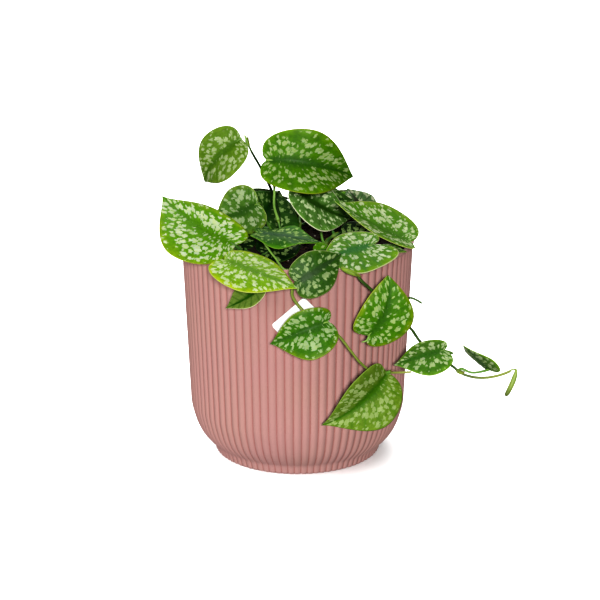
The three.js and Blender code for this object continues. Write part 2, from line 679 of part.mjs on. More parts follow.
// The youngest leaf is still rolled up: a spindle on a short stalk.
function rolledLeafGeometry() {
  const curve = new THREE.CatmullRomCurve3(ROLLED_LEAF.map(vec), false, "centripetal");
  const radiusAt = (distance, length) => {
    const share = THREE.MathUtils.clamp((distance - ROLLED_STALK) / (length - ROLLED_STALK), 0, 1);
    const swell = Math.sin(Math.PI * share ** 0.7); // fullest a little above the middle
    return THREE.MathUtils.lerp(ROLLED_STALK_RADIUS, ROLLED_RADIUS, swell);
  };
  return tube(curve, VINE_SIDES, ROLLED_STEP, radiusAt);
}

const leafGeometry = (leaf) =>
  fromSolid(toSolid(bladeGeometry(leaf)).add(toSolid(stalkGeometry(leaf))));

// ---------------------------------------------------------------- assembly

const plant = new THREE.Group();

function addPiece(name, geometry, colour, roughness) {
  const material = new THREE.MeshStandardMaterial({ color: colour, roughness, metalness: 0 });
  const mesh = new THREE.Mesh(geometry, material);
  mesh.name = name;
  plant.add(mesh);
}

addPiece("pot", potGeometry(), COLOURS.pot, 0.55);
const holes = Object.values(VINES).map((points) => points[0]);
addPiece("soil", soilGeometry(holes), COLOURS.soil, 0.95);
for (const name of Object.keys(VINES)) addPiece(name, vineGeometry(name), COLOURS.vine, 0.5);
for (const leaf of LEAVES) addPiece(leaf.name, leafGeometry(leaf), COLOURS[leaf.colour], 0.45);
addPiece("leaf_rolled", rolledLeafGeometry(), COLOURS.bright, 0.45);
addPiece("plant_label", labelGeometry(), COLOURS.label, 0.4);

export default plant;
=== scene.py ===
"""Looks of a satin pothos (Scindapsus pictus) that trails out of a ribbed plastic pot.

Shapes are worked out in millimetres, with +Z up and the front along -Y. A finished mesh
is written in metres.
"""

import json
import logging
import math
import random
from collections.abc import Callable, Sequence
from dataclasses import dataclass, field
from enum import Enum
from typing import Any, ClassVar, NamedTuple

import bmesh
import bpy
from bmesh.types import BMesh, BMVert
from bpy.types import Material, Node, NodeSocket, NodeTree, Object
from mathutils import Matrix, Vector, noise


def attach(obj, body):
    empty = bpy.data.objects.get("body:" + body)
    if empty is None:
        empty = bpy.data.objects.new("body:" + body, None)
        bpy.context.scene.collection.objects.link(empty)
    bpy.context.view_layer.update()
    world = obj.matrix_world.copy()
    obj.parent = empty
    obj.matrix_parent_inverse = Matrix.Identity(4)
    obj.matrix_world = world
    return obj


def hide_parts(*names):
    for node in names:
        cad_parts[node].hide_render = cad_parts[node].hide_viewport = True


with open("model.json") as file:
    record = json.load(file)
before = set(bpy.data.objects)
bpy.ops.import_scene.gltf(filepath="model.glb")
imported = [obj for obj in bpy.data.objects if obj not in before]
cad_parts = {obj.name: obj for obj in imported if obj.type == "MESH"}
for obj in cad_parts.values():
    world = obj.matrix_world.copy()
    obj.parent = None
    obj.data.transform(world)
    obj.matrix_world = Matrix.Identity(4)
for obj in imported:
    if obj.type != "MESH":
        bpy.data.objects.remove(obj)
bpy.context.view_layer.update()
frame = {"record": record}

log = logging.getLogger("satin_pothos")

MM = 0.001
FULL_TURN = 2 * math.pi
BODY = "root"
SOIL_LEVEL = 160.0
VEINS = 9  # side veins on each half of a blade
PATTERN = "pattern"  # UV map in millimetres along and across a surface
SHARE = "share"  # UV map in shares of a surface's own length and width
Pair = tuple[float, float]
Point = tuple[float, float, float]
Colour = tuple[float, float, float, float]
Chart = tuple[Pair, Pair]


# ---------------- shared geometry


def blend(first: float, last: float, share: float) -> float:
    """Returns the value that lies at a share of the way between two values."""
    return first + (last - first) * share


def clamp(value: float, low: float = 0.0, high: float = 1.0) -> float:
    """Returns the value held between two limits."""
    return max(low, min(high, value))


def rounded_end(left: float, reach: float, least: float) -> float:
    """Returns the share of a tube's radius at a distance left to its end, rounded off over a reach."""
    return math.sqrt(clamp(left / reach, least))


def direction(turn: float, rise: float) -> Vector:
    """Returns a direction from degrees round from the front and degrees up."""
    turn, rise = math.radians(turn), math.radians(rise)
    return Vector((math.sin(turn) * math.cos(rise), -math.cos(turn) * math.cos(rise), math.sin(rise)))


def on_steps(profile: Sequence[Pair], at: float) -> float:
    """Reads a profile of (place, value) pairs at a place, with straight runs between them.

    Args:
        profile: The pairs, in rising order of place.
        at: The place to read.

    Returns:
        The value there, or that of the nearest end.
    """
    for (low, first), (high, last) in zip(profile, profile[1:]):
        if at <= high:
            return blend(first, last, clamp((at - low) / (high - low)))
    return profile[-1][1]


class Curve:
    """A smooth curve through points, walked by its length."""

    SAMPLES: ClassVar[int] = 24  # straight pieces in each span

    def __init__(self, points: Sequence[Point | Vector]) -> None:
        """Samples the curve.

        Args:
            points: What the curve passes through, in millimetres.
        """
        self.points = [Vector(point) for point in points]
        spans = len(self.points) - 1
        self.places = [self._on_span(k, i / self.SAMPLES) for k in range(spans) for i in range(self.SAMPLES)]
        self.places.append(self.points[-1].copy())
        self.marks = [0.0]
        for before, after in zip(self.places, self.places[1:]):
            self.marks.append(self.marks[-1] + (after - before).length)

    def _on_span(self, span: int, share: float) -> Vector:
        """Finds a place on one span by the centripetal Catmull-Rom rule.

        Args:
            span: The span's number, from 0.
            share: Share of the way along the span.

        Returns:
            The place.
        """
        start, end = self.points[span], self.points[span + 1]
        before = self.points[span - 1] if span else 2 * start - end
        after = self.points[span + 2] if span + 2 < len(self.points) else 2 * end - start
        knots = (before, start, end, after)
        first, middle, last = (math.sqrt((b - a).length) for a, b in zip(knots, knots[1:]))
        leave = (start - before) / first - (end - before) / (first + middle) + (end - start) / middle
        enter = (end - start) / middle - (after - start) / (middle + last) + (after - end) / last
        leave, enter = leave * middle, enter * middle
        square, cube = share**2, share**3
        return (
            start * (2 * cube - 3 * square + 1)
            + leave * (cube - 2 * square + share)
            + end * (3 * square - 2 * cube)
            + enter * (cube - square)
        )

    @property
    def length(self) -> float:
        """The whole length in millimetres."""
        return self.marks[-1]

    def at(self, distance: float) -> tuple[Vector, Vector]:
        """Finds a place on the curve.

        Args:
            distance: Millimetres from the start.

        Returns:
            The place and the direction of travel there.
        """
        distance = clamp(distance, 0.0, self.length)
        low, high = 0, len(self.marks) - 1
        while high - low > 1:
            middle = (low + high) // 2
            low, high = (middle, high) if self.marks[middle] <= distance else (low, middle)
        share = (distance - self.marks[low]) / max(self.marks[high] - self.marks[low], 1e-9)
        ends = self.places[max(low - 1, 0)], self.places[min(high + 1, len(self.places) - 1)]
        return self.places[low].lerp(self.places[high], share), (ends[1] - ends[0]).normalized()


def new_mesh() -> BMesh:
    """Makes an empty mesh.

    Returns:
        The mesh, which has both UV maps.
    """
    bm = bmesh.new()
    bm.loops.layers.uv.new(PATTERN)
    bm.loops.layers.uv.new(SHARE)
    return bm


def fold_grid(
    bm: BMesh,
    columns: int,
    rows: int,
    place: Callable[[int, int], Vector],
    chart: Callable[[int, int], Chart],
    slot: int = 0,
) -> None:
    """Adds a grid of faces and moves each of its corners to a place.

    Args:
        bm: The mesh to add to.
        columns: How many faces lie along a row.
        rows: How many rows there are.
        place: Gives a corner's place from its column and row.
        chart: Gives a corner's coordinates in both UV maps from its column and row.
        slot: Material slot of the faces.
    """
    corners = bmesh.ops.create_grid(bm, x_segments=columns, y_segments=rows, size=1.0)["verts"]
    layers = [bm.loops.layers.uv[PATTERN], bm.loops.layers.uv[SHARE]]
    for number, corner in enumerate(corners):
        row, column = divmod(number, columns + 1)
        corner.co = place(column, row)
        spots = chart(column, row)
        for loop in corner.link_loops:
            for layer, spot in zip(layers, spots):
                loop[layer].uv = spot
            loop.face.material_index = slot
            loop.face.smooth = True


def spin_section(bm: BMesh, section: Sequence[Pair], steps: int) -> None:
    """Spins a half section a full turn round the upright axis.

    Args:
        bm: The empty mesh to add to.
        section: The half section as (height, radius), from axis to axis.
        steps: Faces round the shape.
    """
    corners = [bm.verts.new((radius, 0.0, height)) for height, radius in section]
    chain = [bm.edges.new(pair) for pair in zip(corners, corners[1:])]
    bmesh.ops.spin(
        bm,
        geom=[*corners, *chain],
        cent=(0, 0, 0),
        axis=(0, 0, 1),
        angle=FULL_TURN,
        steps=steps,
        use_merge=True,
    )
    for face in bm.faces:
        face.smooth = True


def sweep(
    bm: BMesh,
    curve: Curve,
    sides: int,
    step: float,
    radius_at: Callable[[float, float], float],
    tint_at: Callable[[float], float] = lambda distance: 0.0,
    slot: int = 0,
) -> None:
    """Adds a closed tube along a curve.

    Args:
        bm: The mesh to add to.
        curve: The tube's middle line.
        sides: Faces round the tube.
        step: Millimetres between two rings.
        radius_at: Gives the radius from the distance along and the angle round, in radians.
        tint_at: Gives the second share coordinate from the distance along.
        slot: Material slot of the faces.
    """
    fewest_rings = 4
    rings = max(fewest_rings, round(curve.length / step))
    distances = [curve.length * (i / rings) for i in range(rings + 1)]
    stations = [curve.at(distance) for distance in distances]
    across = stations[0][1].orthogonal().normalized()
    frames = []
    for place, ahead in stations:
        across = (across - ahead * across.dot(ahead)).normalized()
        frames.append((place, across, ahead.cross(across)))
    # An extra ring of no width at each end closes the tube.
    order = [0, *range(rings + 1), rings]

    def place(column: int, row: int) -> Vector:
        """Places a corner of the tube.

        Args:
            column: Its number round the tube.
            row: Number of its ring, with the closing rings counted.

        Returns:
            The corner's place.
        """
        station = order[row]
        centre, right, up = frames[station]
        if row in (0, len(order) - 1):
            return centre.copy()
        angle = FULL_TURN * (column % sides) / sides
        radius = radius_at(distances[station], angle)
        return centre + radius * (math.cos(angle) * right + math.sin(angle) * up)

    def chart(column: int, row: int) -> Chart:
        """Charts a corner of the tube.

        Args:
            column: Its number round the tube.
            row: Number of its ring, with the closing rings counted.

        Returns:
            Its coordinates in both UV maps.
        """
        distance = distances[order[row]]
        width = FULL_TURN * radius_at(distance, 0.0)
        return (distance, width * column / sides), (distance / curve.length, tint_at(distance))

    fold_grid(bm, sides, len(order) - 1, place, chart, slot)


def write_piece(
    bm: BMesh,
    name: str,
    node: str,
    slot: str,
    materials: Sequence[Material],
) -> Object:
    """Closes a mesh's seams, writes it as an object and sets it in the frame.

    Args:
        bm: The mesh in millimetres, which is used up.
        name: Name of the new piece.
        node: The node that the piece stands for.
        slot: The record's material slot of the piece. It is not used.
        materials: The piece's materials, in the order of its faces' slots.

    Returns:
        The new object.
    """
    seam = 0.002  # corners closer than this are one
    bmesh.ops.remove_doubles(bm, verts=bm.verts, dist=seam)
    bmesh.ops.dissolve_degenerate(bm, dist=seam, edges=bm.edges)
    bmesh.ops.recalc_face_normals(bm, faces=bm.faces)
    bmesh.ops.scale(bm, vec=(MM, MM, MM), verts=bm.verts)
    mesh = bpy.data.meshes.new(name)
    bm.to_mesh(mesh)
    bm.free()
    for material in materials:
        mesh.materials.append(material)
    piece = bpy.data.objects.new(name, mesh)
    bpy.context.collection.objects.link(piece)
    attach(piece, BODY)
    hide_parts(node)
    log.info("%s stands for %s with %d faces", name, node, len(mesh.polygons))
    return piece


# ---------------- shared material work

# Settings that many nodes share.
TINTS = {"data_type": "RGBA"}
DARKENED = {"data_type": "RGBA", "blend_type": "MULTIPLY"}
EASED = {"interpolation_type": "SMOOTHSTEP"}
SEEDED = {"noise_dimensions": "4D"}
# The sockets of a Mix node that mixes colours.
FACTOR, A, B, MIXED = 0, 6, 7, 2


def linear(colour: str) -> Colour:
    """Turns an sRGB hex colour into linear red, green, blue and alpha."""
    channels = [int(colour[i : i + 2], 16) / 255 for i in (1, 3, 5)]
    return (*(c / 12.92 if c <= 0.04045 else ((c + 0.055) / 1.055) ** 2.4 for c in channels), 1.0)


def grey(level: float) -> Colour:
    """Returns a linear grey of a level from 0 to 1."""
    return (level, level, level, 1.0)


def greys(levels: Sequence[Pair]) -> list[tuple[float, Colour]]:
    """Returns the stops of a grey colour ramp from pairs of place and level."""
    return [(place, grey(level)) for place, level in levels]


def line_at_ends(level: float, width: float) -> list[tuple[float, Colour]]:
    """Returns the stops of a ramp that falls from a level to black within a width of either end."""
    return greys([(0.0, level), (width, 0.0), (1 - width, 0.0), (1.0, level)])


def add_node(
    tree: NodeTree,
    kind: str,
    settings: dict[str, Any] | None = None,
    inputs: dict[str | int, Any] | None = None,
    stops: Sequence[tuple[float, Colour]] = (),
) -> Node:
    """Adds a node with its settings and links.

    Args:
        tree: The tree to add to.
        kind: The node's type, without the ShaderNode that it begins with.
        settings: Values for the node's own properties.
        inputs: A constant or a socket to link for each named or numbered input.
        stops: Places and colours of a colour ramp.

    Returns:
        The new node.
    """
    node = tree.nodes.new(f"ShaderNode{kind}")
    for key, value in (settings or {}).items():
        setattr(node, key, value)
    for key, value in (inputs or {}).items():
        if isinstance(value, NodeSocket):
            tree.links.new(value, node.inputs[key])
        else:
            node.inputs[key].default_value = value
    for number, (place, colour) in enumerate(stops):
        elements = node.color_ramp.elements
        # A new ramp comes with two stops.
        element = elements[number] if number < 2 else elements.new(place)
        element.position = place
        element.color = colour
    return node


@dataclass(frozen=True)
class Finish:
    """What a surface is made of. Each kind of finish lays out a shader of its own."""

    name: str

    def shader(self, tree: NodeTree) -> NodeSocket:
        """Adds the nodes of the finish to a tree and returns the shader's output."""
        raise NotImplementedError

    def material(self) -> Material:
        """Makes the material that carries the finish's name.

        Returns:
            The new material.
        """
        material = bpy.data.materials.new(self.name)
        material.use_nodes = True
        tree = material.node_tree
        tree.nodes.clear()
        add_node(tree, "OutputMaterial", inputs={"Surface": self.shader(tree)})
        return material


def shares(tree: NodeTree) -> tuple[NodeSocket, NodeSocket]:
    """Adds the reading of a surface's own shares.

    Args:
        tree: The tree to add to.

    Returns:
        The share along the surface, and the share across it.
    """
    places = add_node(tree, "UVMap", {"uv_map": SHARE}).outputs["UV"]
    parts = add_node(tree, "SeparateXYZ", inputs={0: places})
    return parts.outputs["X"], parts.outputs["Y"]


def vein_lines(tree: NodeTree, share: NodeSocket, level: float, width: float) -> NodeSocket:
    """Adds a line at each side vein.

    Args:
        tree: The tree to add to.
        share: Share along the blade's margin.
        level: Level of the lines.
        width: How far a line reaches to either side, as a share of the space between two veins.

    Returns:
        The level, which is 0 between the lines.
    """
    count = add_node(tree, "Math", {"operation": "MULTIPLY"}, {0: share, 1: float(VEINS)})
    near = add_node(tree, "Math", {"operation": "FRACT"}, {0: count.outputs[0]})
    ramp = add_node(tree, "ValToRGB", inputs={"Fac": near.outputs[0]}, stops=line_at_ends(level, width))
    return ramp.outputs["Color"]


def lit_through(tree: NodeTree, skin: Node, colour: NodeSocket, glow: float) -> NodeSocket:
    """Adds the light that shines through a thin blade.

    Args:
        tree: The tree to add to.
        skin: The shader of the blade's skin.
        colour: Colour of the light that comes through.
        glow: Share of the light that comes through.

    Returns:
        The output of both shaders together.
    """
    through = add_node(tree, "BsdfTranslucent", inputs={"Color": colour})
    both = add_node(tree, "MixShader", inputs={0: glow, 1: skin.outputs[0], 2: through.outputs[0]})
    return both.outputs[0]


# ---------------- finishes


@dataclass(frozen=True)
class MouldedPolypropylene(Finish):
    """Injection-moulded polypropylene, coloured through: matt, even, a little waxy."""

    name: str = "moulded_polypropylene"
    colour: str = "#b18785"
    warmer: str = "#af8b82"
    # Red-brown painted shade for the grooves between the ribs.
    groove: str = "#8a433b"
    # Near-black painted shade for the inside of the wall.
    soil: str = "#1d140e"
    roughness: float = 0.58
    ior: float = 1.49
    cloud_size: float = 45.0
    grain_size: float = 0.5
    groove_shade: float = 0.45  # how much painted shade darkens the bottom of a groove
    groove_shade_width: float = 0.13  # how far the painted shade reaches, as a share of a rib's width

    def shader(self, tree: NodeTree) -> NodeSocket:
        """Adds the nodes. The grain of the mould's skin keeps highlights soft.

        Args:
            tree: The tree to add to.

        Returns:
            The shader's output.
        """
        spot = add_node(tree, "TexCoord").outputs["Object"]
        across, down = shares(tree)
        cloud = add_node(
            tree, "TexNoise", inputs={"Vector": spot, "Scale": 1 / (self.cloud_size * MM), "Detail": 2.0}
        )
        body = add_node(tree, "Mix", TINTS, {
            FACTOR: cloud.outputs["Fac"], A: linear(self.colour), B: linear(self.warmer),
        })
        # Painted shade darkens the grooves, where the share across a rib is near 0 and near 1.
        groove = add_node(
            tree, "ValToRGB", inputs={"Fac": across}, stops=line_at_ends(self.groove_shade, self.groove_shade_width)
        )
        colour = add_node(tree, "Mix", TINTS, {
            FACTOR: groove.outputs["Color"], A: body.outputs[MIXED], B: linear(self.groove),
        })
        # Painted shade darkens the inside of the wall, where the share down is over 1.
        inner_shade = add_node(
            tree, "MapRange", EASED, {"Value": down, "From Min": 1.005, "From Max": 1.035, "To Max": 0.92}
        )
        shaded_inside = add_node(
            tree, "Mix", TINTS, {FACTOR: inner_shade.outputs[0], A: colour.outputs[MIXED], B: linear(self.soil)}
        )
        grain = add_node(
            tree, "TexNoise", inputs={"Vector": spot, "Scale": 1 / (self.grain_size * MM), "Detail": 2.0}
        )
        roughness = add_node(tree, "MapRange", inputs={
            "Value": grain.outputs["Fac"], "To Min": self.roughness - 0.05, "To Max": self.roughness + 0.05,
        })
        bump = add_node(
            tree, "Bump", inputs={"Height": grain.outputs["Fac"], "Strength": 0.25, "Distance": 0.06 * MM}
        )
        shader = add_node(tree, "BsdfPrincipled", inputs={
            "Base Color": shaded_inside.outputs[MIXED],
            "Roughness": roughness.outputs[0],
            "IOR": self.ior,
            "Specular IOR Level": 0.05,
            "Normal": bump.outputs[0],
        })
        return shader.outputs[0]


@dataclass(frozen=True)
class LooseMatter(Finish):
    """Crumbly matter in the pot: peat, bark or perlite, all of it dull and uneven."""

    colour: str
    lighter: str
    lump_size: float
    roughness: float = 0.95

    def shader(self, tree: NodeTree) -> NodeSocket:
        """Adds the nodes. Lumps of two shades keep it from looking like one mass.

        Args:
            tree: The tree to add to.

        Returns:
            The shader's output.
        """
        spot = add_node(tree, "TexCoord").outputs["Object"]
        lumps = add_node(tree, "TexNoise", inputs={
            "Vector": spot, "Scale": 1 / (self.lump_size * MM), "Detail": 4.0, "Roughness": 0.65,
        })
        colour = add_node(tree, "ValToRGB", inputs={"Fac": lumps.outputs["Fac"]}, stops=[
            (0.38, linear(self.colour)), (0.66, linear(self.lighter)),
        ])
        bump = add_node(
            tree, "Bump", inputs={"Height": lumps.outputs["Fac"], "Strength": 0.8, "Distance": 0.4 * MM}
        )
        shader = add_node(tree, "BsdfPrincipled", inputs={
            "Base Color": colour.outputs["Color"],
            "Roughness": self.roughness,
            "Specular IOR Level": 0.2,
            "Normal": bump.outputs[0],
        })
        return shader.outputs[0]


@dataclass(frozen=True)
class StemRind(Finish):
    """Living skin of a vine or a leaf stalk: smooth, faintly streaked along its length."""

    colour: str
    older: str
    node: str
    roughness: float = 0.45
    streak_length: float = 9.0
    streak_width: float = 0.5

    def shader(self, tree: NodeTree) -> NodeSocket:
        """Adds the nodes. Streaks run lengthwise, and a node shows its own shade.

        Args:
            tree: The tree to add to.

        Returns:
            The shader's output.
        """
        pattern = add_node(tree, "UVMap", {"uv_map": PATTERN}).outputs["UV"]
        _, tint = shares(tree)
        stretched = add_node(tree, "Mapping", inputs={
            "Vector": pattern, "Scale": (1 / self.streak_length, 1 / self.streak_width, 1.0),
        })
        streaks = add_node(
            tree, "TexNoise", inputs={"Vector": stretched.outputs[0], "Scale": 1.0, "Detail": 3.0}
        )
        rind = add_node(tree, "ValToRGB", inputs={"Fac": streaks.outputs["Fac"]}, stops=[
            (0.36, linear(self.older)), (0.62, linear(self.colour)),
        ])
        colour = add_node(
            tree, "Mix", TINTS, {FACTOR: tint, A: rind.outputs["Color"], B: linear(self.node)}
        )
        bump = add_node(
            tree, "Bump", inputs={"Height": streaks.outputs["Fac"], "Strength": 0.4, "Distance": 0.1 * MM}
        )
        shader = add_node(tree, "BsdfPrincipled", inputs={
            "Base Color": colour.outputs[MIXED],
            "Roughness": self.roughness,
            "Specular IOR Level": 0.35,
            "Normal": bump.outputs[0],
        })
        return shader.outputs[0]


@dataclass(frozen=True)
class BladeTone:
    """The greens of one blade, and how thickly the silver flecks lie on it."""

    midrib: str
    blade: str
    margin: str
    rim: str
    fleck: str
    flecking: float = 0.5
    rim_width: float = 0.035
    lean: float = 0.0
    lighter: str = "#8fb53a"


class Foliage(Enum):
    """Named tones of foliage, from the youngest and brightest to the darkest. The darker ones, such as
    SHADED, DARK and DARKEST, are partly painted shade, for leaves that sit in shadow inside the plant.
    """

    LIME = BladeTone("#588c08", "#669c0a", "#8bad10", "#c8cc4b", "#cad9e3", 0.6, 0.022)
    LEMON = BladeTone("#66940b", "#83ae08", "#b3c70d", "#cbd573", "#c5d1cd", 0.56)
    BRIGHT = BladeTone("#3a6716", "#538504", "#6e9b07", "#99aa32", "#b0c4a7", 0.44)
    FRESH = BladeTone("#3e6e1b", "#498107", "#769a11", "#abb758", "#a7c3ad", 0.5, 0.045)
    CLEAR = BladeTone("#3e7010", "#538a06", "#85a20e", "#b6be51", "#a7c7a8", 0.5, 0.045)
    MIDDLE = BladeTone("#426c24", "#5f8a34", "#84a23c", "#bac584", "#a9c2a6", 0.52)
    PALE = BladeTone("#558523", "#649827", "#8bb22c", "#ccd57e", "#c3d2c6", 0.52)
    SILVERED = BladeTone("#467a3e", "#618d2f", "#7fa61f", "#d2d2a0", "#a6c1ab", 0.54, 0.05)
    OLIVE = BladeTone("#4f7614", "#698c25", "#7c9b2f", "#90a94e", "#bdc5aa", 0.52)
    MELLOW = BladeTone("#477909", "#6e8d2a", "#819d36", "#91ab4b", "#b6c593", 0.5, 0.035, 0.4, "#7fa52c")
    PLAIN = BladeTone("#2d5c03", "#789341", "#8c9f49", "#f9f9ca", "#f9f9f9", 0.0)
    SHADED = BladeTone("#2f5510", "#669144", "#7cb14b", "#eef0cb", "#b1d78f", 0.36, 0.05)
    MUTED = BladeTone("#2c5f26", "#3a6f14", "#5d9c12", "#85ac40", "#b4cc8d", 0.3)
    DEEP = BladeTone("#427421", "#557f29", "#83b027", "#b3c76e", "#bbc9b2", 0.5, 0.035, 0.35, "#5a9a2a")
    DUSKY = BladeTone("#3c5a2c", "#406a20", "#567e23", "#b8c482", "#82a47a", 0.42, 0.045)
    GREYED = BladeTone("#343d26", "#557544", "#688f4d", "#a0ae7c", "#c1c1a9", 0.5)
    DIM = BladeTone("#214409", "#3b5e1e", "#497323", "#759648", "#93af77", 0.38)
    # DARK and DARKEST are partly painted shade, for leaves that sit in shadow inside the plant.
    DARK = BladeTone("#113803", "#2c5312", "#366716", "#678b3a", "#98ac77", 0.42)
    DARKEST = BladeTone("#0b2208", "#0f2a05", "#143407", "#446825", "#9bb170", 0.42)


@dataclass(frozen=True)
class LeafCuticle(Finish):
    """Upper skin of a satin pothos blade: satin, with silver flecks where air lies under it."""

    tone: BladeTone
    seed: float
    cloud_size: float = 7.0
    cell_size: float = 1.6
    fleck_width: float = 0.5
    fleck_length: float = 1.7
    fleck_spacing: Pair = (3.2, 4.5)  # across and along the veins
    stray: Pair = (2.2, 2.0)  # how far a fleck's outline strays, and over what length
    roughness: float = 0.46
    glow: float = 0.2
    # How thickly the flecks lie, by the share of the way from the midrib to the margin.
    zones: tuple[Pair, ...] = (
        (0.05, 0.0), (0.2, 0.34), (0.36, 0.5), (0.58, 0.47), (0.74, 0.35), (0.92, 0.29), (0.97, 0.0),
    )

    def green(
        self,
        tree: NodeTree,
        along: NodeSocket,
        across: NodeSocket,
        cloud: NodeSocket,
        fine: NodeSocket,
    ) -> NodeSocket:
        """Adds the greens that lie under the flecks.

        Args:
            tree: The tree to add to.
            along: Share along the blade's margin.
            across: Share of the way from the midrib to a margin, below 0 on one half.
            cloud: The coarse noise.
            fine: The fine noise.

        Returns:
            The colour.
        """
        tone = self.tone
        # Ground colour: from the midrib out to the margin, with an uneven border.
        out = add_node(tree, "Math", {"operation": "ABSOLUTE"}, {0: across}).outputs[0]
        uneven = add_node(tree, "Math", {"operation": "MULTIPLY_ADD"}, {0: cloud, 1: 0.3, 2: -0.15})
        reach = add_node(tree, "Math", {"operation": "ADD"}, {0: out, 1: uneven.outputs[0]})
        ground = add_node(tree, "ValToRGB", inputs={"Fac": reach.outputs[0]}, stops=[
            (0.08, linear(tone.midrib)),
            (0.26, linear(tone.blade)),
            (0.76, linear(tone.blade)),
            (0.98, linear(tone.margin)),
        ])
        # On some leaves one half is lighter than the other.
        half = add_node(tree, "MapRange", EASED, {
            "Value": across, "From Min": -0.12, "From Max": 0.5, "To Max": tone.lean,
        })
        leaning = add_node(tree, "Mix", TINTS, {
            FACTOR: half.outputs[0], A: ground.outputs["Color"], B: linear(tone.lighter),
        })
        # The cells between the finest veins make the green uneven.
        cells = add_node(tree, "ValToRGB", inputs={"Fac": fine}, stops=greys([(0.3, 0.66), (0.66, 1.0)]))
        mottled = add_node(
            tree, "Mix", DARKENED, {FACTOR: 0.9, A: leaning.outputs[MIXED], B: cells.outputs["Color"]}
        )
        # Side veins are sunken lines of a darker green, partly their own tone and partly painted shade in the
        # sunken lines; the drip tip is darker too.
        veins = vein_lines(tree, along, 0.5, 0.2)
        end = add_node(
            tree, "MapRange", inputs={"Value": along, "From Min": 0.95, "From Max": 1.0, "To Max": 0.9}
        )
        sunken = add_node(tree, "Math", {"operation": "MAXIMUM"}, {0: veins, 1: end.outputs[0]})
        return add_node(tree, "Mix", TINTS, {
            FACTOR: sunken.outputs[0], A: mottled.outputs[MIXED], B: linear(tone.midrib),
        }).outputs[MIXED]

    def flecks(
        self,
        tree: NodeTree,
        pattern: NodeSocket,
        out: NodeSocket,
        cloud: NodeSocket,
    ) -> tuple[NodeSocket, NodeSocket]:
        """Adds ragged ovals drawn out along the veins, each with its own size.

        They join up half-way out and stand alone near the margin.

        Args:
            tree: The tree to add to.
            pattern: Place on the blade in millimetres.
            out: Share of the way from the midrib to the margin.
            cloud: The coarse noise.

        Returns:
            Where the flecks are, and how clearly each of them shows.
        """
        warp = add_node(tree, "TexNoise", SEEDED, {
            "Vector": pattern, "W": self.seed + 9, "Scale": 1 / self.stray[1], "Detail": 1.0,
        })
        strayed = add_node(tree, "VectorMath", {"operation": "MULTIPLY_ADD"}, {
            0: warp.outputs["Color"], 1: (self.stray[0], self.stray[0], 0.0), 2: pattern,
        }).outputs[0]
        strewn = add_node(tree, "Mapping", inputs={
            "Vector": strayed,
            "Location": (3.1 * self.seed, 1.7 * self.seed, 0.0),
            "Scale": (1 / self.fleck_spacing[0], 1 / self.fleck_spacing[1], 1.0),
        })
        spots = add_node(tree, "TexVoronoi", {"voronoi_dimensions": "2D"}, {
            "Vector": strewn.outputs[0], "Scale": 1.0, "Randomness": 0.95,
        })
        chance = add_node(tree, "SeparateColor", inputs={0: spots.outputs["Color"]})
        drawn = add_node(tree, "Mapping", inputs={
            "Vector": strayed, "Scale": (0.5 / self.fleck_width, 0.5 / self.fleck_length, 1.0),
        })
        streaks = add_node(tree, "TexNoise", SEEDED, {
            "Vector": drawn.outputs[0], "W": self.seed + 2, "Scale": 1.0, "Detail": 2.0, "Roughness": 0.6,
        })
        zone = add_node(tree, "ValToRGB", inputs={"Fac": out}, stops=greys(self.zones))
        grown = add_node(tree, "Math", {"operation": "SUBTRACT"}, {
            0: zone.outputs["Color"], 1: spots.outputs["Distance"],
        })
        # Streaks make an oval ragged, clouds gather the ovals, and chance gives each its size.
        for source, weight in ((streaks.outputs["Fac"], 1.1), (cloud, 0.5), (chance.outputs[0], 0.4)):
            grown = add_node(
                tree, "Math", {"operation": "MULTIPLY_ADD"}, {0: source, 1: weight, 2: grown.outputs[0]}
            )
        fewer = 0.6 * self.tone.flecking
        fleck = add_node(tree, "MapRange", EASED, {
            "Value": grown.outputs[0],
            "From Min": 1.33 - fewer,
            "From Max": 1.47 - fewer,
            "To Max": float(self.tone.flecking > 0),
        })
        # Some flecks are fainter than others, and so are those near the midrib.
        clear = add_node(
            tree, "MapRange", inputs={"Value": out, "From Min": 0.1, "From Max": 0.5, "To Min": 0.72}
        )
        varied = add_node(
            tree, "Math", {"operation": "MULTIPLY_ADD"}, {0: chance.outputs[1], 1: 0.3, 2: 0.7}
        )
        fainter = add_node(
            tree, "Math", {"operation": "MULTIPLY"}, {0: varied.outputs[0], 1: clear.outputs[0]}
        )
        shown = add_node(
            tree, "Math", {"operation": "MULTIPLY"}, {0: fleck.outputs[0], 1: fainter.outputs[0]}
        )
        return fleck.outputs[0], shown.outputs[0]

    def shader(self, tree: NodeTree) -> NodeSocket:
        """Adds the nodes. Flecks follow the veins and leave midrib and rim plain.

        Args:
            tree: The tree to add to.

        Returns:
            The shader's output.
        """
        tone = self.tone
        pattern = add_node(tree, "UVMap", {"uv_map": PATTERN}).outputs["UV"]
        along, across = shares(tree)
        out = add_node(tree, "Math", {"operation": "ABSOLUTE"}, {0: across}).outputs[0]
        cloud = add_node(tree, "TexNoise", SEEDED, {
            "Vector": pattern, "W": self.seed, "Scale": 1 / self.cloud_size, "Detail": 2.0,
        }).outputs["Fac"]
        fine = add_node(tree, "TexNoise", SEEDED, {
            "Vector": pattern, "W": self.seed + 5, "Scale": 1 / self.cell_size, "Detail": 3.0,
        }).outputs["Fac"]
        green = self.green(tree, along, across, cloud, fine)
        fleck, shown = self.flecks(tree, pattern, out, cloud)
        silver = add_node(tree, "Mix", TINTS, {FACTOR: fine, A: linear(tone.fleck), B: linear(tone.rim)})
        flecked = add_node(tree, "Mix", TINTS, {FACTOR: shown, A: green, B: silver.outputs[MIXED]})
        # Thin clear rim round the blade.
        rim = add_node(tree, "MapRange", EASED, {
            "Value": out, "From Min": 1 - tone.rim_width, "From Max": 1 - 0.3 * tone.rim_width,
        })
        colour = add_node(
            tree, "Mix", TINTS, {FACTOR: rim.outputs[0], A: flecked.outputs[MIXED], B: linear(tone.rim)}
        ).outputs[MIXED]
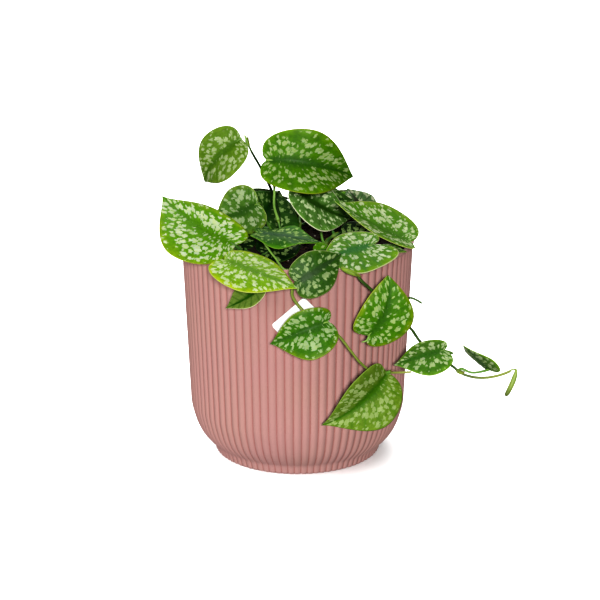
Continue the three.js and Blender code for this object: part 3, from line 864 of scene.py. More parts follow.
        # A fleck is duller than the green beside it.
        roughness = add_node(
            tree, "Math", {"operation": "MULTIPLY_ADD"}, {0: fleck, 1: 0.12, 2: self.roughness}
        )
        bump = add_node(tree, "Bump", inputs={"Height": fine, "Strength": 0.3, "Distance": 0.15 * MM})
        skin = add_node(tree, "BsdfPrincipled", inputs={
            "Base Color": colour,
            "Roughness": roughness.outputs[0],
            "Specular IOR Level": 0.16,
            "Normal": bump.outputs[0],
        })
        return lit_through(tree, skin, colour, self.glow)


@dataclass(frozen=True)
class LeafUnderside(Finish):
    """Lower skin of a blade: paler and duller, with the veins standing out."""

    colour: str
    vein: str
    mottle_size: float = 2.5
    roughness: float = 0.6
    glow: float = 0.2

    def shader(self, tree: NodeTree) -> NodeSocket:
        """Adds the nodes. Pale veins and a fine mottle break up the plain green.

        Args:
            tree: The tree to add to.

        Returns:
            The shader's output.
        """
        pattern = add_node(tree, "UVMap", {"uv_map": PATTERN}).outputs["UV"]
        along, across = shares(tree)
        mottle = add_node(
            tree, "TexNoise", inputs={"Vector": pattern, "Scale": 1 / self.mottle_size, "Detail": 3.0}
        )
        patchy = add_node(
            tree, "ValToRGB", inputs={"Fac": mottle.outputs["Fac"]}, stops=greys([(0.3, 0.75), (0.7, 1.0)])
        )
        green = add_node(
            tree, "Mix", DARKENED, {FACTOR: 0.7, A: linear(self.colour), B: patchy.outputs["Color"]}
        )
        # The midrib, the side veins and the margin are paler lines.
        lateral = vein_lines(tree, along, 0.6, 0.06)
        out = add_node(tree, "Math", {"operation": "ABSOLUTE"}, {0: across})
        middle = add_node(
            tree,
            "ValToRGB",
            inputs={"Fac": out.outputs[0]},
            stops=greys([(0.02, 1.0), (0.06, 0.0), (0.95, 0.0), (1.0, 0.7)]),
        )
        lines = add_node(tree, "Math", {"operation": "MAXIMUM"}, {0: lateral, 1: middle.outputs["Color"]})
        colour = add_node(
            tree, "Mix", TINTS, {FACTOR: lines.outputs[0], A: green.outputs[MIXED], B: linear(self.vein)}
        )
        bump = add_node(
            tree, "Bump", inputs={"Height": lines.outputs[0], "Strength": 0.4, "Distance": 0.2 * MM}
        )
        skin = add_node(tree, "BsdfPrincipled", inputs={
            "Base Color": colour.outputs[MIXED],
            "Roughness": self.roughness,
            "Specular IOR Level": 0.25,
            "Normal": bump.outputs[0],
        })
        return lit_through(tree, skin, colour.outputs[MIXED], self.glow)


@dataclass(frozen=True)
class CoatedCard(Finish):
    """Coated white card with nothing printed on it: smooth, with the faint tooth of paper."""

    name: str = "coated_card"
    colour: str = "#f4f4f2"
    edge: str = "#dadad6"
    roughness: float = 0.38
    tooth_size: float = 0.4

    def shader(self, tree: NodeTree) -> NodeSocket:
        """Adds the nodes. The edge of the card is uncoated and a little greyer.

        Args:
            tree: The tree to add to.

        Returns:
            The shader's output.
        """
        spot = add_node(tree, "TexCoord").outputs["Object"]
        _, edge = shares(tree)
        tooth = add_node(
            tree, "TexNoise", inputs={"Vector": spot, "Scale": 1 / (self.tooth_size * MM), "Detail": 3.0}
        )
        colour = add_node(tree, "Mix", TINTS, {FACTOR: edge, A: linear(self.colour), B: linear(self.edge)})
        roughness = add_node(tree, "MapRange", inputs={
            "Value": tooth.outputs["Fac"], "To Min": self.roughness - 0.06, "To Max": self.roughness + 0.06,
        })
        bump = add_node(
            tree, "Bump", inputs={"Height": tooth.outputs["Fac"], "Strength": 0.15, "Distance": 0.03 * MM}
        )
        shader = add_node(tree, "BsdfPrincipled", inputs={
            "Base Color": colour.outputs[MIXED],
            "Roughness": roughness.outputs[0],
            "Normal": bump.outputs[0],
        })
        return shader.outputs[0]


@dataclass(frozen=True)
class OpalAcrylic(Finish):
    """Matt opal acrylic sheet, lit faintly from below so that shadows on it stay light."""

    name: str = "opal_acrylic"
    colour: str = "#f0f0f0"
    light: float = 0.02
    mottle_size: float = 12.0
    roughness: Pair = (0.85, 0.95)

    def shader(self, tree: NodeTree) -> NodeSocket:
        """Adds the nodes, plain but for a faint unevenness of the frosting.

        Args:
            tree: The tree to add to.

        Returns:
            The shader's output.
        """
        spot = add_node(tree, "TexCoord").outputs["Object"]
        mottle = add_node(
            tree, "TexNoise", inputs={"Vector": spot, "Scale": 1 / (self.mottle_size * MM), "Detail": 2.0}
        )
        low, high = self.roughness
        roughness = add_node(
            tree, "MapRange", inputs={"Value": mottle.outputs["Fac"], "To Min": low, "To Max": high}
        )
        shader = add_node(tree, "BsdfPrincipled", inputs={
            "Base Color": linear(self.colour),
            "Roughness": roughness.outputs[0],
            "Specular IOR Level": 0.1,
            "Emission Color": grey(1.0),
            "Emission Strength": self.light,
        })
        return shader.outputs[0]


# ---------------- pot, soil and label


@dataclass
class Pot:
    """Ribbed pot: a straight wall, a round belly, a short foot and a smooth narrow lip."""

    height: float = 175.0
    lip_radius: float = 92.0
    lip_height: float = 2.4
    wall: float = 3.0
    floor: float = 4.0
    ribs: int = 82
    rib_depth: float = 1.5
    rib_roundness: float = 2.0  # power of the rib's section: higher is flatter with a narrower groove
    rib_samples: int = 12
    rib_run_out: float = 1.4  # height over which the ribs fade into the lip
    # Share of the ribs' depth on the foot, and the heights between which it grows to the whole.
    foot_ribs: tuple[float, float, float] = (0.55, 7.0, 14.0)
    rib_reach: float = 0.4  # a corner no deeper than this under the crests belongs to the ribs
    skin: float = 1.9  # a corner deeper than this under the crests lies on the inside
    base_rings: tuple[float, ...] = (0.0, 40.0, 62.0)
    # Height and radius over the crests of the ribs, from the base up.
    outside: tuple[Pair, ...] = (
        (0.0, 65.6), (0.5, 66.15), (2.5, 66.8), (5.0, 67.6), (7.0, 68.5), (8.0, 69.2), (9.0, 70.2),
        (10.5, 71.8), (12.5, 73.8), (15.0, 75.9), (18.0, 78.1), (21.5, 80.0), (25.5, 81.7),
        (30.0, 83.1), (35.0, 84.5), (41.0, 85.6), (50.0, 86.0), (70.0, 86.9), (90.0, 87.7),
        (110.0, 88.6), (130.0, 89.4), (150.0, 90.3), (165.0, 90.9), (171.2, 91.2),
    )
    # Height and radius of the smooth inside, from the floor up to below the lip.
    inside: tuple[Pair, ...] = ((4.0, 64.5), (22.0, 76.2), (46.0, 83.0))
    # Under the lip: height over its foot, and distance inside its radius.
    lip_under: tuple[Pair, ...] = ((-0.5, 0.75), (0.0, 0.45), (0.25, 0.1), (0.6, 0.0))
    # Over the lip: depth under the top, and distance inside its radius or outside the bore.
    lip_outer: tuple[Pair, ...] = ((0.9, 0.2), (0.4, 0.4), (0.1, 0.75), (0.0, 1.2))
    lip_inner: tuple[Pair, ...] = ((0.0, 0.9), (0.1, 0.45), (0.4, 0.15), (0.9, 0.0))
    finish: MouldedPolypropylene = field(default_factory=MouldedPolypropylene)

    def section(self) -> list[Pair]:
        """Draws the pot's half section, from the base to the lip and down inside.

        Returns:
            The points as (height, radius).
        """
        foot, top = self.height - self.lip_height, self.height
        lip, bore = self.lip_radius, self.lip_radius - self.wall
        points = [(0.0, radius) for radius in self.base_rings] + list(self.outside)
        points += [(foot + up, lip - inward) for up, inward in self.lip_under]
        points += [(top - down, lip - inward) for down, inward in self.lip_outer]
        points += [(top - down, bore + outward) for down, outward in self.lip_inner]
        return [*points, *reversed(self.inside), (self.floor, 0.0)]

    def groove(self, share: float, height: float) -> float:
        """Finds how deep the surface lies under the crest of a rib.

        Args:
            share: Place across the rib, as a share of its width.
            height: Height over the base.

        Returns:
            The depth.
        """
        least, low, high = self.foot_ribs
        depth = self.rib_depth * blend(least, 1.0, clamp((height - low) / (high - low)))
        return depth * abs(2 * share - 1) ** self.rib_roundness

    def share_down(self, place: Vector) -> float:
        """Finds the share of the height, counted on past 1 down the inside of the wall.

        Args:
            place: A corner of the pot.

        Returns:
            The share.
        """
        under = on_steps(self.outside, place.z) - math.hypot(place.x, place.y) > self.skin
        share = place.z / self.height
        return 2 - share if under and place.z > self.floor else share

    def sink_grooves(self, bm: BMesh) -> dict[BMVert, float]:
        """Sinks the grooves between the ribs, which fade out under the lip.

        Args:
            bm: The spun pot.

        Returns:
            Each corner's place across its rib, which is the middle where there are no ribs.
        """
        fade_from = self.height - self.lip_height - self.rib_run_out
        shares = {}
        for corner in bm.verts:
            x, y, height = corner.co
            radius = math.hypot(x, y)
            share = (math.atan2(y, x) / FULL_TURN * self.ribs) % 1.0
            ribbed = radius > on_steps(self.outside, height) - self.rib_reach
            fade = 1 - clamp((height - fade_from) / self.rib_run_out)
            shares[corner] = share if ribbed and fade > 0.5 else 0.5
            if ribbed and fade > 0:
                scale = (radius - self.groove(share, height) * fade) / radius
                corner.co.x *= scale
                corner.co.y *= scale
        return shares

    def lay_charts(self, bm: BMesh, shares: dict[BMVert, float]) -> None:
        """Fills both UV maps.

        Args:
            bm: The ribbed pot.
            shares: Each corner's place across its rib.
        """
        layers = bm.loops.layers.uv[PATTERN], bm.loops.layers.uv[SHARE]
        for face in bm.faces:
            spread = [shares[corner] for corner in face.verts]
            wraps = max(spread) - min(spread) > 0.5
            for loop in face.loops:
                share, place = shares[loop.vert], loop.vert.co
                # The groove's own corner counts as 1 for the face that ends there.
                share = 1.0 if wraps and share < 0.5 else share
                loop[layers[0]].uv = (math.atan2(place.y, place.x) * self.lip_radius, place.z)
                loop[layers[1]].uv = (share, self.share_down(place))

    def build(self) -> Object:
        """Spins the half section round, then sinks the grooves between the ribs.

        Returns:
            The pot.
        """
        bm = new_mesh()
        spin_section(bm, self.section(), self.ribs * self.rib_samples)
        self.lay_charts(bm, self.sink_grooves(bm))
        return write_piece(bm, "ribbed_pot", "pot", "pot", [self.finish.material()])


@dataclass(frozen=True)
class Litter:
    """Loose bits of one kind on the soil, with their number, usual radius and flatness."""

    finish: LooseMatter
    count: int
    size: float
    flat: float  # height as a share of the width


@dataclass
class Soil:
    """Potting soil: a lumpy bed with crumbs of peat, chips of bark and a little perlite."""

    level: float = SOIL_LEVEL
    mound: float = 2.5
    lump: float = 1.5
    lump_size: float = 9.0
    crumble: float = 0.6  # height of the crumble on the lumps, as a share of theirs
    radius: float = 88.0
    bare_edge: float = 3.0
    # Height and radius against the wall, from the floor up.
    foot: tuple[Pair, ...] = ((4.4, 64.1), (22.0, 75.8), (46.0, 82.6))
    rings: int = 30
    steps: int = 120
    seed: int = 11
    litter: tuple[Litter, ...] = (
        Litter(LooseMatter("moist_peat", "#150e09", "#2e2015", 3.0), 620, 1.5, 0.75),
        Litter(LooseMatter("bark_chip", "#2b1b10", "#523620", 1.6, 0.8), 150, 2.2, 0.35),
        Litter(LooseMatter("perlite", "#8f887a", "#b9b2a4", 1.0, 0.85), 36, 1.0, 0.85),
    )

    def top(self, x: float, y: float) -> float:
        """Finds the height of the bed, with its lumps and the crumble on them.

        Args:
            x: Place to the right of the middle.
            y: Place behind the middle.

        Returns:
            The height over the pot's base.
        """
        mound = self.mound * (1 - (x * x + y * y) / self.radius**2)
        lumps = noise.noise(Vector((x, y, 3.0)) / self.lump_size)
        crumble = noise.noise(Vector((x, y, 9.0)) / (self.lump_size / 3))
        return self.level + mound + self.lump * lumps + self.crumble * self.lump * crumble

    def build(self) -> None:
        """Spins the bed, makes it lumpy, and scatters crumbs, chips and grains on it."""
        bm = new_mesh()
        bed = [(self.level, self.radius * (1 - i / self.rings)) for i in range(self.rings + 1)]
        spin_section(bm, [(self.foot[0][0], 0.0), *self.foot, *bed], self.steps)
        for corner in bm.verts:
            if corner.co.z > self.level - 1:
                corner.co.z = self.top(corner.co.x, corner.co.y)
        draw = random.Random(self.seed)
        for slot, kind in enumerate(self.litter):
            for _ in range(kind.count):
                self.scatter(bm, draw, slot, kind)
        write_piece(bm, "potting_soil", "soil", "soil", [kind.finish.material() for kind in self.litter])

    def scatter(self, bm: BMesh, draw: random.Random, slot: int, kind: Litter) -> None:
        """Drops one irregular lump on the bed.

        Args:
            bm: The mesh to add to.
            draw: Source of the random choices.
            slot: Material slot of the lump.
            kind: What the lump is.
        """
        angle = draw.uniform(0, FULL_TURN)
        distance = (self.radius - self.bare_edge) * math.sqrt(draw.random())
        x, y = distance * math.cos(angle), distance * math.sin(angle)
        scale = kind.size * draw.uniform(0.5, 1.35)
        lump = bmesh.ops.create_icosphere(bm, subdivisions=1, radius=scale)["verts"]
        stretch = Vector((draw.uniform(0.8, 1.7), draw.uniform(0.6, 1.1), kind.flat * draw.uniform(0.7, 1.2)))
        turn = draw.uniform(0, FULL_TURN)
        cos, sin = math.cos(turn), math.sin(turn)
        tilt = draw.uniform(-0.5, 0.5)
        place = Vector((x, y, self.top(x, y) + 0.3 * scale * kind.flat))
        for corner in lump:
            corner.co += corner.co * draw.uniform(-0.22, 0.22)
            corner.co = Vector(a * b for a, b in zip(corner.co, stretch))
            corner.co.z += tilt * corner.co.x * 0.6
            across, deep, up = corner.co
            corner.co = Vector((cos * across - sin * deep, sin * across + cos * deep, up)) + place
            for face in corner.link_faces:
                face.material_index = slot


@dataclass
class PlantLabel:
    """Blank white card on the front of the pot, bent to its wall."""

    width: float = 34.0
    height: float = 31.0
    corner: float = 2.5
    thickness: float = 0.6
    clearance: float = 0.45
    centre: Pair = (3.0, 131.0)  # across the front, and up
    turn: float = 43.0  # degrees from upright
    cells: int = 28
    finish: CoatedCard = field(default_factory=CoatedCard)

    def on_wall(self, across: float, up: float, out: float, pot: Pot) -> Vector:
        """Places a point of the card.

        Args:
            across: Millimetres to the right of the card's centre, before it is turned.
            up: Millimetres above the card's centre, before it is turned.
            out: Millimetres away from the pot's ribs.
            pot: The pot that the card lies on.

        Returns:
            The point's place.
        """
        angle = math.radians(self.turn)
        x = self.centre[0] + across * math.cos(angle) - up * math.sin(angle)
        z = self.centre[1] + across * math.sin(angle) + up * math.cos(angle)
        radius = on_steps(pot.outside, z) + out
        return Vector((x, -math.sqrt(radius**2 - x**2), z))

    def build(self, pot: Pot) -> None:
        """Bends a grid with round corners to the wall and gives it thickness.

        Args:
            pot: The pot that the card lies on.
        """
        bm = new_mesh()
        half = Vector((self.width / 2, self.height / 2))

        def flat(column: int, row: int) -> Pair:
            """Places a corner on the flat card, drawn in at the round corners.

            Args:
                column: Its number across the card.
                row: Its number up the card.

            Returns:
                Its place across and up from the card's centre.
            """
            x = (2 * column / self.cells - 1) * half.x
            y = (2 * row / self.cells - 1) * half.y
            over = Vector((max(abs(x) - half.x + self.corner, 0), max(abs(y) - half.y + self.corner, 0)))
            longest = max(over.x, over.y)
            if over.x > 0 and over.y > 0:
                over *= longest / over.length
                x = math.copysign(half.x - self.corner + over.x, x)
                y = math.copysign(half.y - self.corner + over.y, y)
            return x, y

        for out in (self.clearance, self.clearance + self.thickness):
            fold_grid(
                bm,
                self.cells,
                self.cells,
                lambda column, row: self.on_wall(*flat(column, row), out, pot),
                lambda column, row: (flat(column, row), (0.0, 0.0)),
            )
        # The band between both faces is marked as the card's edge.
        rim = [edge for edge in bm.edges if edge.is_boundary]
        for face in bmesh.ops.bridge_loops(bm, edges=rim)["faces"]:
            for loop in face.loops:
                loop[bm.loops.layers.uv[SHARE]].uv = (0.0, 1.0)
        write_piece(bm, "blank_label", "plant_label", "label", [self.finish.material()])


# ---------------- vines


@dataclass
class Vine:
    """A climbing stem: it swells at each node, where a dry sheath and root stubs sit."""

    name: str
    points: Sequence[Point]
    finish: StemRind
    shoot: Sequence[Point] = ()  # a leafless side shoot
    scale_leaf: Sequence[Point] = ()  # a scale leaf wrapped round the vine where it crosses the rim
    young: float = 0.0  # length at the tip that has the paler shade of a node
    radius: float = 1.3
    taper: float = 0.4  # share of the radius that is lost at the tip
    scar: tuple[float, float, float] = (0.14, 0.72, 0.86)  # its height, and how near a node it lies
    unevenness: float = 0.06
    sides: int = 14
    step: float = 1.2
    node_swell: float = 0.5
    node_length: float = 3.0
    shoot_radius: float = 1.0
    shoot_tip: float = 0.8
    scale_leaf_radius: float = 2.1
    sheath_length: float = 6.0
    sheath_cells: tuple[int, int] = (10, 8)  # round the stem and along it
    sheath_turn: float = 2.4  # how far one sheath is turned from the last, in radians
    sheath_wrap: float = 2.3  # half of the angle that a sheath spans at its foot
    stub_turns: Pair = (0.4, 1.1)  # where the root stubs stand beside the sheath
    stub_radius: float = 0.42
    root_depth: float = 26.0
    sheath: StemRind = field(
        default_factory=lambda: StemRind("node_sheath", "#8fa53a", "#4a6c1c", "#6a5426", 0.6)
    )

    def __post_init__(self) -> None:
        """Lays the stem's middle line, from its root in the soil to its tip."""
        x, y, _ = self.points[0]
        roots = [(x, y, SOIL_LEVEL - share * self.root_depth) for share in (1.0, 0.5)]
        self.curve = Curve([*roots, *self.points])

    def distance(self, share: float) -> float:
        """Returns the distance along the curve of a share of the part above the roots."""
        return self.root_depth + share * (self.curve.length - self.root_depth)

    def radius_along(self, distance: float) -> float:
        """Returns the bare radius at a distance along the curve."""
        return self.radius * (1 - self.taper * (distance / self.curve.length) ** 2)

    def build(self, nodes: Sequence[float]) -> None:
        """Sweeps the stem and its side shoot and dresses each node.

        Args:
            nodes: Distances along the curve at which leaves stand.
        """
        bm = new_mesh()

        def near_node(distance: float) -> float:
            """Returns how close a place is to a node, from 0 to 1."""
            return max((1 - abs(distance - node) / self.node_length for node in nodes), default=0.0)

        def radius_at(distance: float, angle: float) -> float:
            """Finds the stem's radius, swollen at a node and drawn in at the tip.

            Args:
                distance: Millimetres along the curve.
                angle: Radians round it.

            Returns:
                The radius.
            """
            closeness = clamp(near_node(distance))
            swell = self.node_swell * closeness * closeness * (3 - 2 * closeness)
            height, far, near = self.scar
            scar = height if far < closeness < near else 0.0
            uneven = self.unevenness * noise.noise(Vector((distance / 4, angle, self.radius)))
            end = rounded_end(self.curve.length - distance, 1.6, 0.02)
            return (self.radius_along(distance) + swell + scar + uneven) * end

        def tint_at(distance: float) -> float:
            """Returns how much of a node's own shade shows."""
            fresh = clamp(1.5 * (1 - (self.curve.length - distance) / self.young)) if self.young else 0.0
            return max(clamp(near_node(distance)), fresh)

        sweep(bm, self.curve, self.sides, self.step, radius_at, tint_at)
        if self.shoot:
            self.add_shoot(bm)
        if self.scale_leaf:
            self.add_scale_leaf(bm)
        for number, node in enumerate(nodes):
            self.dress_node(bm, node, number)
        materials = [self.finish.material(), self.sheath.material()]
        write_piece(bm, f"{self.name}_stem", self.name, "stem", materials)

    def add_shoot(self, bm: BMesh) -> None:
        """Sweeps the side shoot.

        Args:
            bm: The mesh to add to.
        """
        curve = Curve(self.shoot)

        def radius_at(distance: float, angle: float) -> float:
            """Returns the shoot's radius."""
            bare = blend(self.shoot_radius, self.shoot_tip, distance / curve.length)
            return bare * rounded_end(curve.length - distance, 1.2, 0.05)

        sweep(bm, curve, self.sides, self.step, radius_at)

    def add_scale_leaf(self, bm: BMesh) -> None:
        """Sweeps the scale leaf, a flattened spindle that browns towards its tip.

        Args:
            bm: The mesh to add to.
        """
        curve = Curve(self.scale_leaf)

        def radius_at(distance: float, angle: float) -> float:
            """Returns the scale leaf's radius."""
            swell = math.sin(math.pi * clamp(0.12 + 0.85 * distance / curve.length)) ** 0.7
            return self.scale_leaf_radius * swell * (0.72 + 0.28 * abs(math.cos(angle)))

        def tint_at(distance: float) -> float:
            """Returns how brown it is."""
            return 0.5 * (distance / curve.length) ** 4

        sweep(bm, curve, self.sides, self.step / 2, radius_at, tint_at, slot=1)

    def dress_node(self, bm: BMesh, node: float, number: int) -> None:
        """Adds the dry sheath that clasps the stem at a node, and two root stubs under it.

        Args:
            bm: The mesh to add to.
            node: Distance of the node along the curve.
            number: The node's number, which picks the side that it opens to.
        """
        columns, rows = self.sheath_cells
        length = self.sheath_length
        open_to = self.sheath_turn * number

        def place(column: int, row: int) -> Vector:
            """Places a corner of the sheath, a scale wrapped half round the stem.

            Args:
                column: Its number round the stem.
                row: Its number along it.

            Returns:
                The corner's place.
            """
            along = row / rows
            centre, ahead = self.curve.at(min(node - 1.0 + along * length, self.curve.length - 0.5))
            right = ahead.orthogonal().normalized()
            up = ahead.cross(right)
            wrap = self.sheath_wrap * math.sqrt(max(1 - along**1.6, 0.0))
            angle = open_to + wrap * (2 * column / columns - 1)
            stand = self.radius_along(node) + self.node_swell + 0.15 + 0.9 * along**2
            return centre + stand * (math.cos(angle) * right + math.sin(angle) * up)

        fold_grid(
            bm,
            columns,
            rows,
            place,
            lambda column, row: ((row * length / rows, float(column)), (row / rows, (row / rows) ** 3)),
            slot=1,
        )
        centre, ahead = self.curve.at(node)
        across = ahead.orthogonal().normalized()
        for turn in self.stub_turns:
            out = math.cos(open_to + turn) * across + math.sin(open_to + turn) * ahead.cross(across)
            stub = Curve([centre + out * 1.0, centre + out * 2.3, centre + out * 3.1 - Vector((0, 0, 0.5))])
            sweep(
                bm,
                stub,
                6,
                0.6,
                lambda distance, angle: self.stub_radius * (1 - 0.5 * distance / 3),
                lambda distance: 1.0,
                slot=1,
            )


# ---------------- leaves


@dataclass(frozen=True)
class LeafPlan:
    """Where a leaf stands and how its blade is shaped.

    The joint of stalk and blade, the tip, and the way the upper face looks (degrees round
    from the front towards +X, and degrees up) place it. The full width is in millimetres.
    The arch of the midrib, the upward fold of the halves, the downward curl of the margins,
    the reach of the two lobes behind the joint, the skew that widens one half and the
    sideways bow of the midrib are shares of the blade's length or half width. A wave is the
    height of the margin's ripple. The stalk leaves its vine `at` a share of the vine's
    length above the soil and passes `via` a few points. It can have another leaf's `stalk`
    finish, and a `spur` is a short stub that stands at the joint. The shoulder is the half
    width close to the drawn-out tip, as a share.
    """

    name: str
    tone: Foliage
    joint: Point
    tip: Point
    faces: Pair
    width: float
    vine: str
    at: float
    via: tuple[Point, ...]
    arch: float = 0.06
    fold: float = 0.08
    curl: float = 0.06
    lobes: Pair = (0.1, 0.1)
    skew: float = 0.0
    bow: float = 0.0
    wave: float = 0.0
    stalk: str = ""
    spur: tuple[Point, ...] = ()
    shoulder: float = 0.12


class Corner(NamedTuple):
    """A corner of the blade's middle surface."""

    place: Vector
    up: Vector
    along: float  # millimetres from the joint
    across: float  # millimetres from the midrib
    out: float  # share of the way from the midrib to the margin


@dataclass
class Leaf:
    """One leaf: a heart-shaped blade on its stalk."""

    plan: LeafPlan
    number: int
    thickness: float = 0.75
    steps: int = 56
    cells: int = 14
    widest: float = 0.33
    wave_start: float = 2.6
    wave_offset: float = 1.6
    quilting: float = 0.22  # how far the blade swells between two veins
    groove: float = 0.35  # how deep the midrib lies in the upper face
    keel: float = 0.55  # how far the midrib stands out of the lower face
    stalk_radius: float = 1.05
    stalk_end: float = 0.75
    stalk_under_blade: float = 5.0
    stalk_clearance: float = 1.1  # how far the stalk runs straight off the vine
    full_stalk_width: float = 36.0  # a narrower blade has a slimmer stalk
    clasp: Pair = (0.45, 9.0)  # how much wider the stalk's foot is, and how long
    knee: Pair = (0.22, 2.2)  # swelling behind the blade, and its length
    stalk_sides: int = 12
    stalk_step: float = 1.2
    margin_samples: ClassVar[int] = 60  # on each of the three spans of a margin

    def __post_init__(self) -> None:
        """Works out the blade's own directions."""
        plan = self.plan
        self.joint = Vector(plan.joint)
        self.ahead = Vector(plan.tip) - self.joint
        self.length = self.ahead.length
        self.ahead.normalize()
        up = direction(*plan.faces)
        self.up = (up - self.ahead * up.dot(self.ahead)).normalized()
        self.aside = self.up.cross(self.ahead)
        self.half = plan.width / 2

    def surface(self, along: float, across: float) -> Vector:
        """Places a point of the blade's middle surface.

        Args:
            along: Millimetres from the joint towards the tip.
            across: Millimetres from the midrib.

        Returns:
            The point's place.
        """
        plan = self.plan
        share = along / self.length
        out = abs(across) / self.half
        soft = math.sqrt(out * out + 0.0016) - 0.04  # rounds the fold at the midrib
        bulge = 4 * share * (1 - share)
        phase = self.wave_start + (self.wave_offset if across > 0 else 0.0)
        ripple = plan.wave * out * out * math.sin(FULL_TURN * share + phase)
        dish = self.half * (plan.fold * soft - plan.curl * out * out)
        lift = dish + plan.arch * self.length * bulge + ripple
        sideways = across + plan.bow * self.length * bulge
        return self.joint + self.ahead * along + self.aside * sideways + self.up * lift

    def normal(self, along: float, across: float) -> Vector:
        """Finds the direction in which the upper face looks.

        Args:
            along: Millimetres from the joint towards the tip.
            across: Millimetres from the midrib.

        Returns:
            The direction.
        """
        reach = 0.4
        lengthwise = self.surface(along + reach, across) - self.surface(along - reach, across)
        crosswise = self.surface(along, across + reach) - self.surface(along, across - reach)
        return lengthwise.cross(crosswise).normalized()

    def margin(self, lobe: float) -> list[Pair]:
        """Spaces points evenly along one margin.

        Args:
            lobe: How far the lobe reaches behind the joint.

        Returns:
            The points as shares of the length and of the half width.
        """
        wide = self.widest
        spans = (
            ((0, 0), (-0.5 * lobe, 0.03), (-lobe, 0.18), (-lobe, 0.42)),
            ((-lobe, 0.42), (-lobe, 0.74), (wide - 0.25, 1), (wide, 1)),
            ((wide, 1), (wide + 0.29, 1), (0.84, self.plan.shoulder), (1, 0)),
        )
        samples = self.margin_samples
        points = [Vector((0.0, 0.0))]
        for a, b, c, d in (tuple(Vector(point) for point in span) for span in spans):
            for i in range(1, samples + 1):
                t = i / samples
                s = 1 - t
                points.append(a * s**3 + b * (3 * s * s * t) + c * (3 * s * t * t) + d * t**3)
        marks = [0.0]
        for before, after in zip(points, points[1:]):
            marks.append(marks[-1] + (after - before).length)
        spaced, k = [], 0
        for i in range(self.steps + 1):
            mark = marks[-1] * i / self.steps
            while k < len(marks) - 2 and marks[k + 1] < mark:
                k += 1
            share = (mark - marks[k]) / (marks[k + 1] - marks[k])
            spaced.append(tuple(points[k].lerp(points[k + 1], share)))
        return spaced

    def relief(self, vein: float, along: float, across: float, out: float) -> float:
        """Finds how far the whole blade swells up between its veins.

        Args:
            vein: Place along the margin, from 0 to 1.
            along: Millimetres from the joint.
            across: Millimetres from the midrib.
            out: Share of the way from the midrib to the margin.

        Returns:
            The height over the middle surface.
        """
        between = 0.5 - 0.5 * math.cos(FULL_TURN * vein * VEINS)
        pillow = self.quilting * (between - 0.4) * math.sin(math.pi * clamp(out * 1.05)) ** 0.7
        slow = noise.noise(Vector((along / 19, across / 13, 7.3 * self.number)))
        turned_down = 0.2 * out**8
        return pillow + 2.2 * slow * out * (1 - out) * (1 - vein**3) - turned_down

    def build_blade(self, bm: BMesh) -> None:
        """Adds both faces of both halves of the blade, which meet at the midrib and the margin.

        Args:
            bm: The mesh to add to.
        """
        plan = self.plan
        for side in (1, -1):
            reach = self.half * (1 + side * plan.skew)
            margin = self.margin(plan.lobes[0 if side > 0 else 1])
            corners = {}
            for row in range(self.steps + 1):
                foot = (row / self.steps) ** 2
                edge = margin[row]
                for column in range(self.cells + 1):
                    out = 1 - (1 - column / self.cells) ** 1.25
                    along = blend(foot, edge[0], out**1.2) * self.length
                    across = side * edge[1] * reach * out
                    place, up = self.surface(along, across), self.normal(along, across)
                    place = place + up * self.relief(row / self.steps, along, across, out)
                    corners[column, row] = Corner(place, up, along, across, out)
            for face in (1, -1):
                self.add_face(bm, corners, side, face)

    def add_face(
        self,
        bm: BMesh,
        corners: dict[tuple[int, int], Corner],
        side: int,
        face: int,
    ) -> None:
        """Adds one face of one half of the blade.

        Args:
            bm: The mesh to add to.
            corners: The half's corners, by column and row.
            side: 1 for one half of the blade, -1 for the other.
            face: 1 for the upper face, -1 for the lower.
        """
        margin_length = 1.15 * self.length  # about the length of one margin

        def place(column: int, row: int) -> Vector:
            """Places a corner of this face, half a thickness off the middle surface.

            Args:
                column: Its number from the midrib out.
                row: Its number from the joint to the tip.

            Returns:
                The corner's place.
            """
            corner = corners[column, row]
            # Both faces meet at the joint and at the tip.
            if row in (0, self.steps):
                return corner.place.copy()
            body = 0.5 * self.thickness * math.sqrt(max(1 - corner.out**12, 0.0))
            taper = 1 - corner.along / self.length
            midrib = math.exp(-((corner.across / 0.95) ** 2)) * clamp(1.3 * taper) * (1.0 if body else 0.0)
            offset = body - self.groove * midrib if face > 0 else -body - self.keel * midrib
            return corner.place + corner.up * offset

        def chart(column: int, row: int) -> Chart:
            """Charts a corner of this face.

            Args:
                column: Its number from the midrib out.
                row: Its number from the joint to the tip.

            Returns:
                Its coordinates in both UV maps.
            """
            corner = corners[column, row]
            share = row / self.steps
            walked = math.hypot(corner.along - share**2 * self.length, corner.across)
            return (margin_length * row / self.steps, side * walked), (share, side * corner.out)

        fold_grid(bm, self.cells, self.steps, place, chart, slot=0 if face > 0 else 1)

    def build_stalk(self, bm: BMesh, vine: Vine) -> None:
        """Adds the stalk, from the vine to its end under the midrib.

        Args:
            bm: The mesh to add to.
            vine: The vine that the leaf grows on.
        """
        plan = self.plan
        point, ahead = vine.curve.at(vine.distance(plan.at))
        away = Vector(plan.via[0]) - point
        away = (away - ahead * away.dot(ahead)).normalized()
        # A stalk runs on from the vine's end, or stands off its side.
        if plan.at == 1:
            leave = [point, point + ahead * self.stalk_clearance]
        else:
            clear = vine.radius_along(0) + vine.node_swell + self.stalk_clearance
            leave = [point + away * 0.6, point + away * clear]
        under = [
            self.surface(0, 0) - self.up * 0.55,
            self.surface(self.stalk_under_blade, 0) - self.up * 0.95,
        ]
        curve = Curve([*leave, *plan.via, *under])

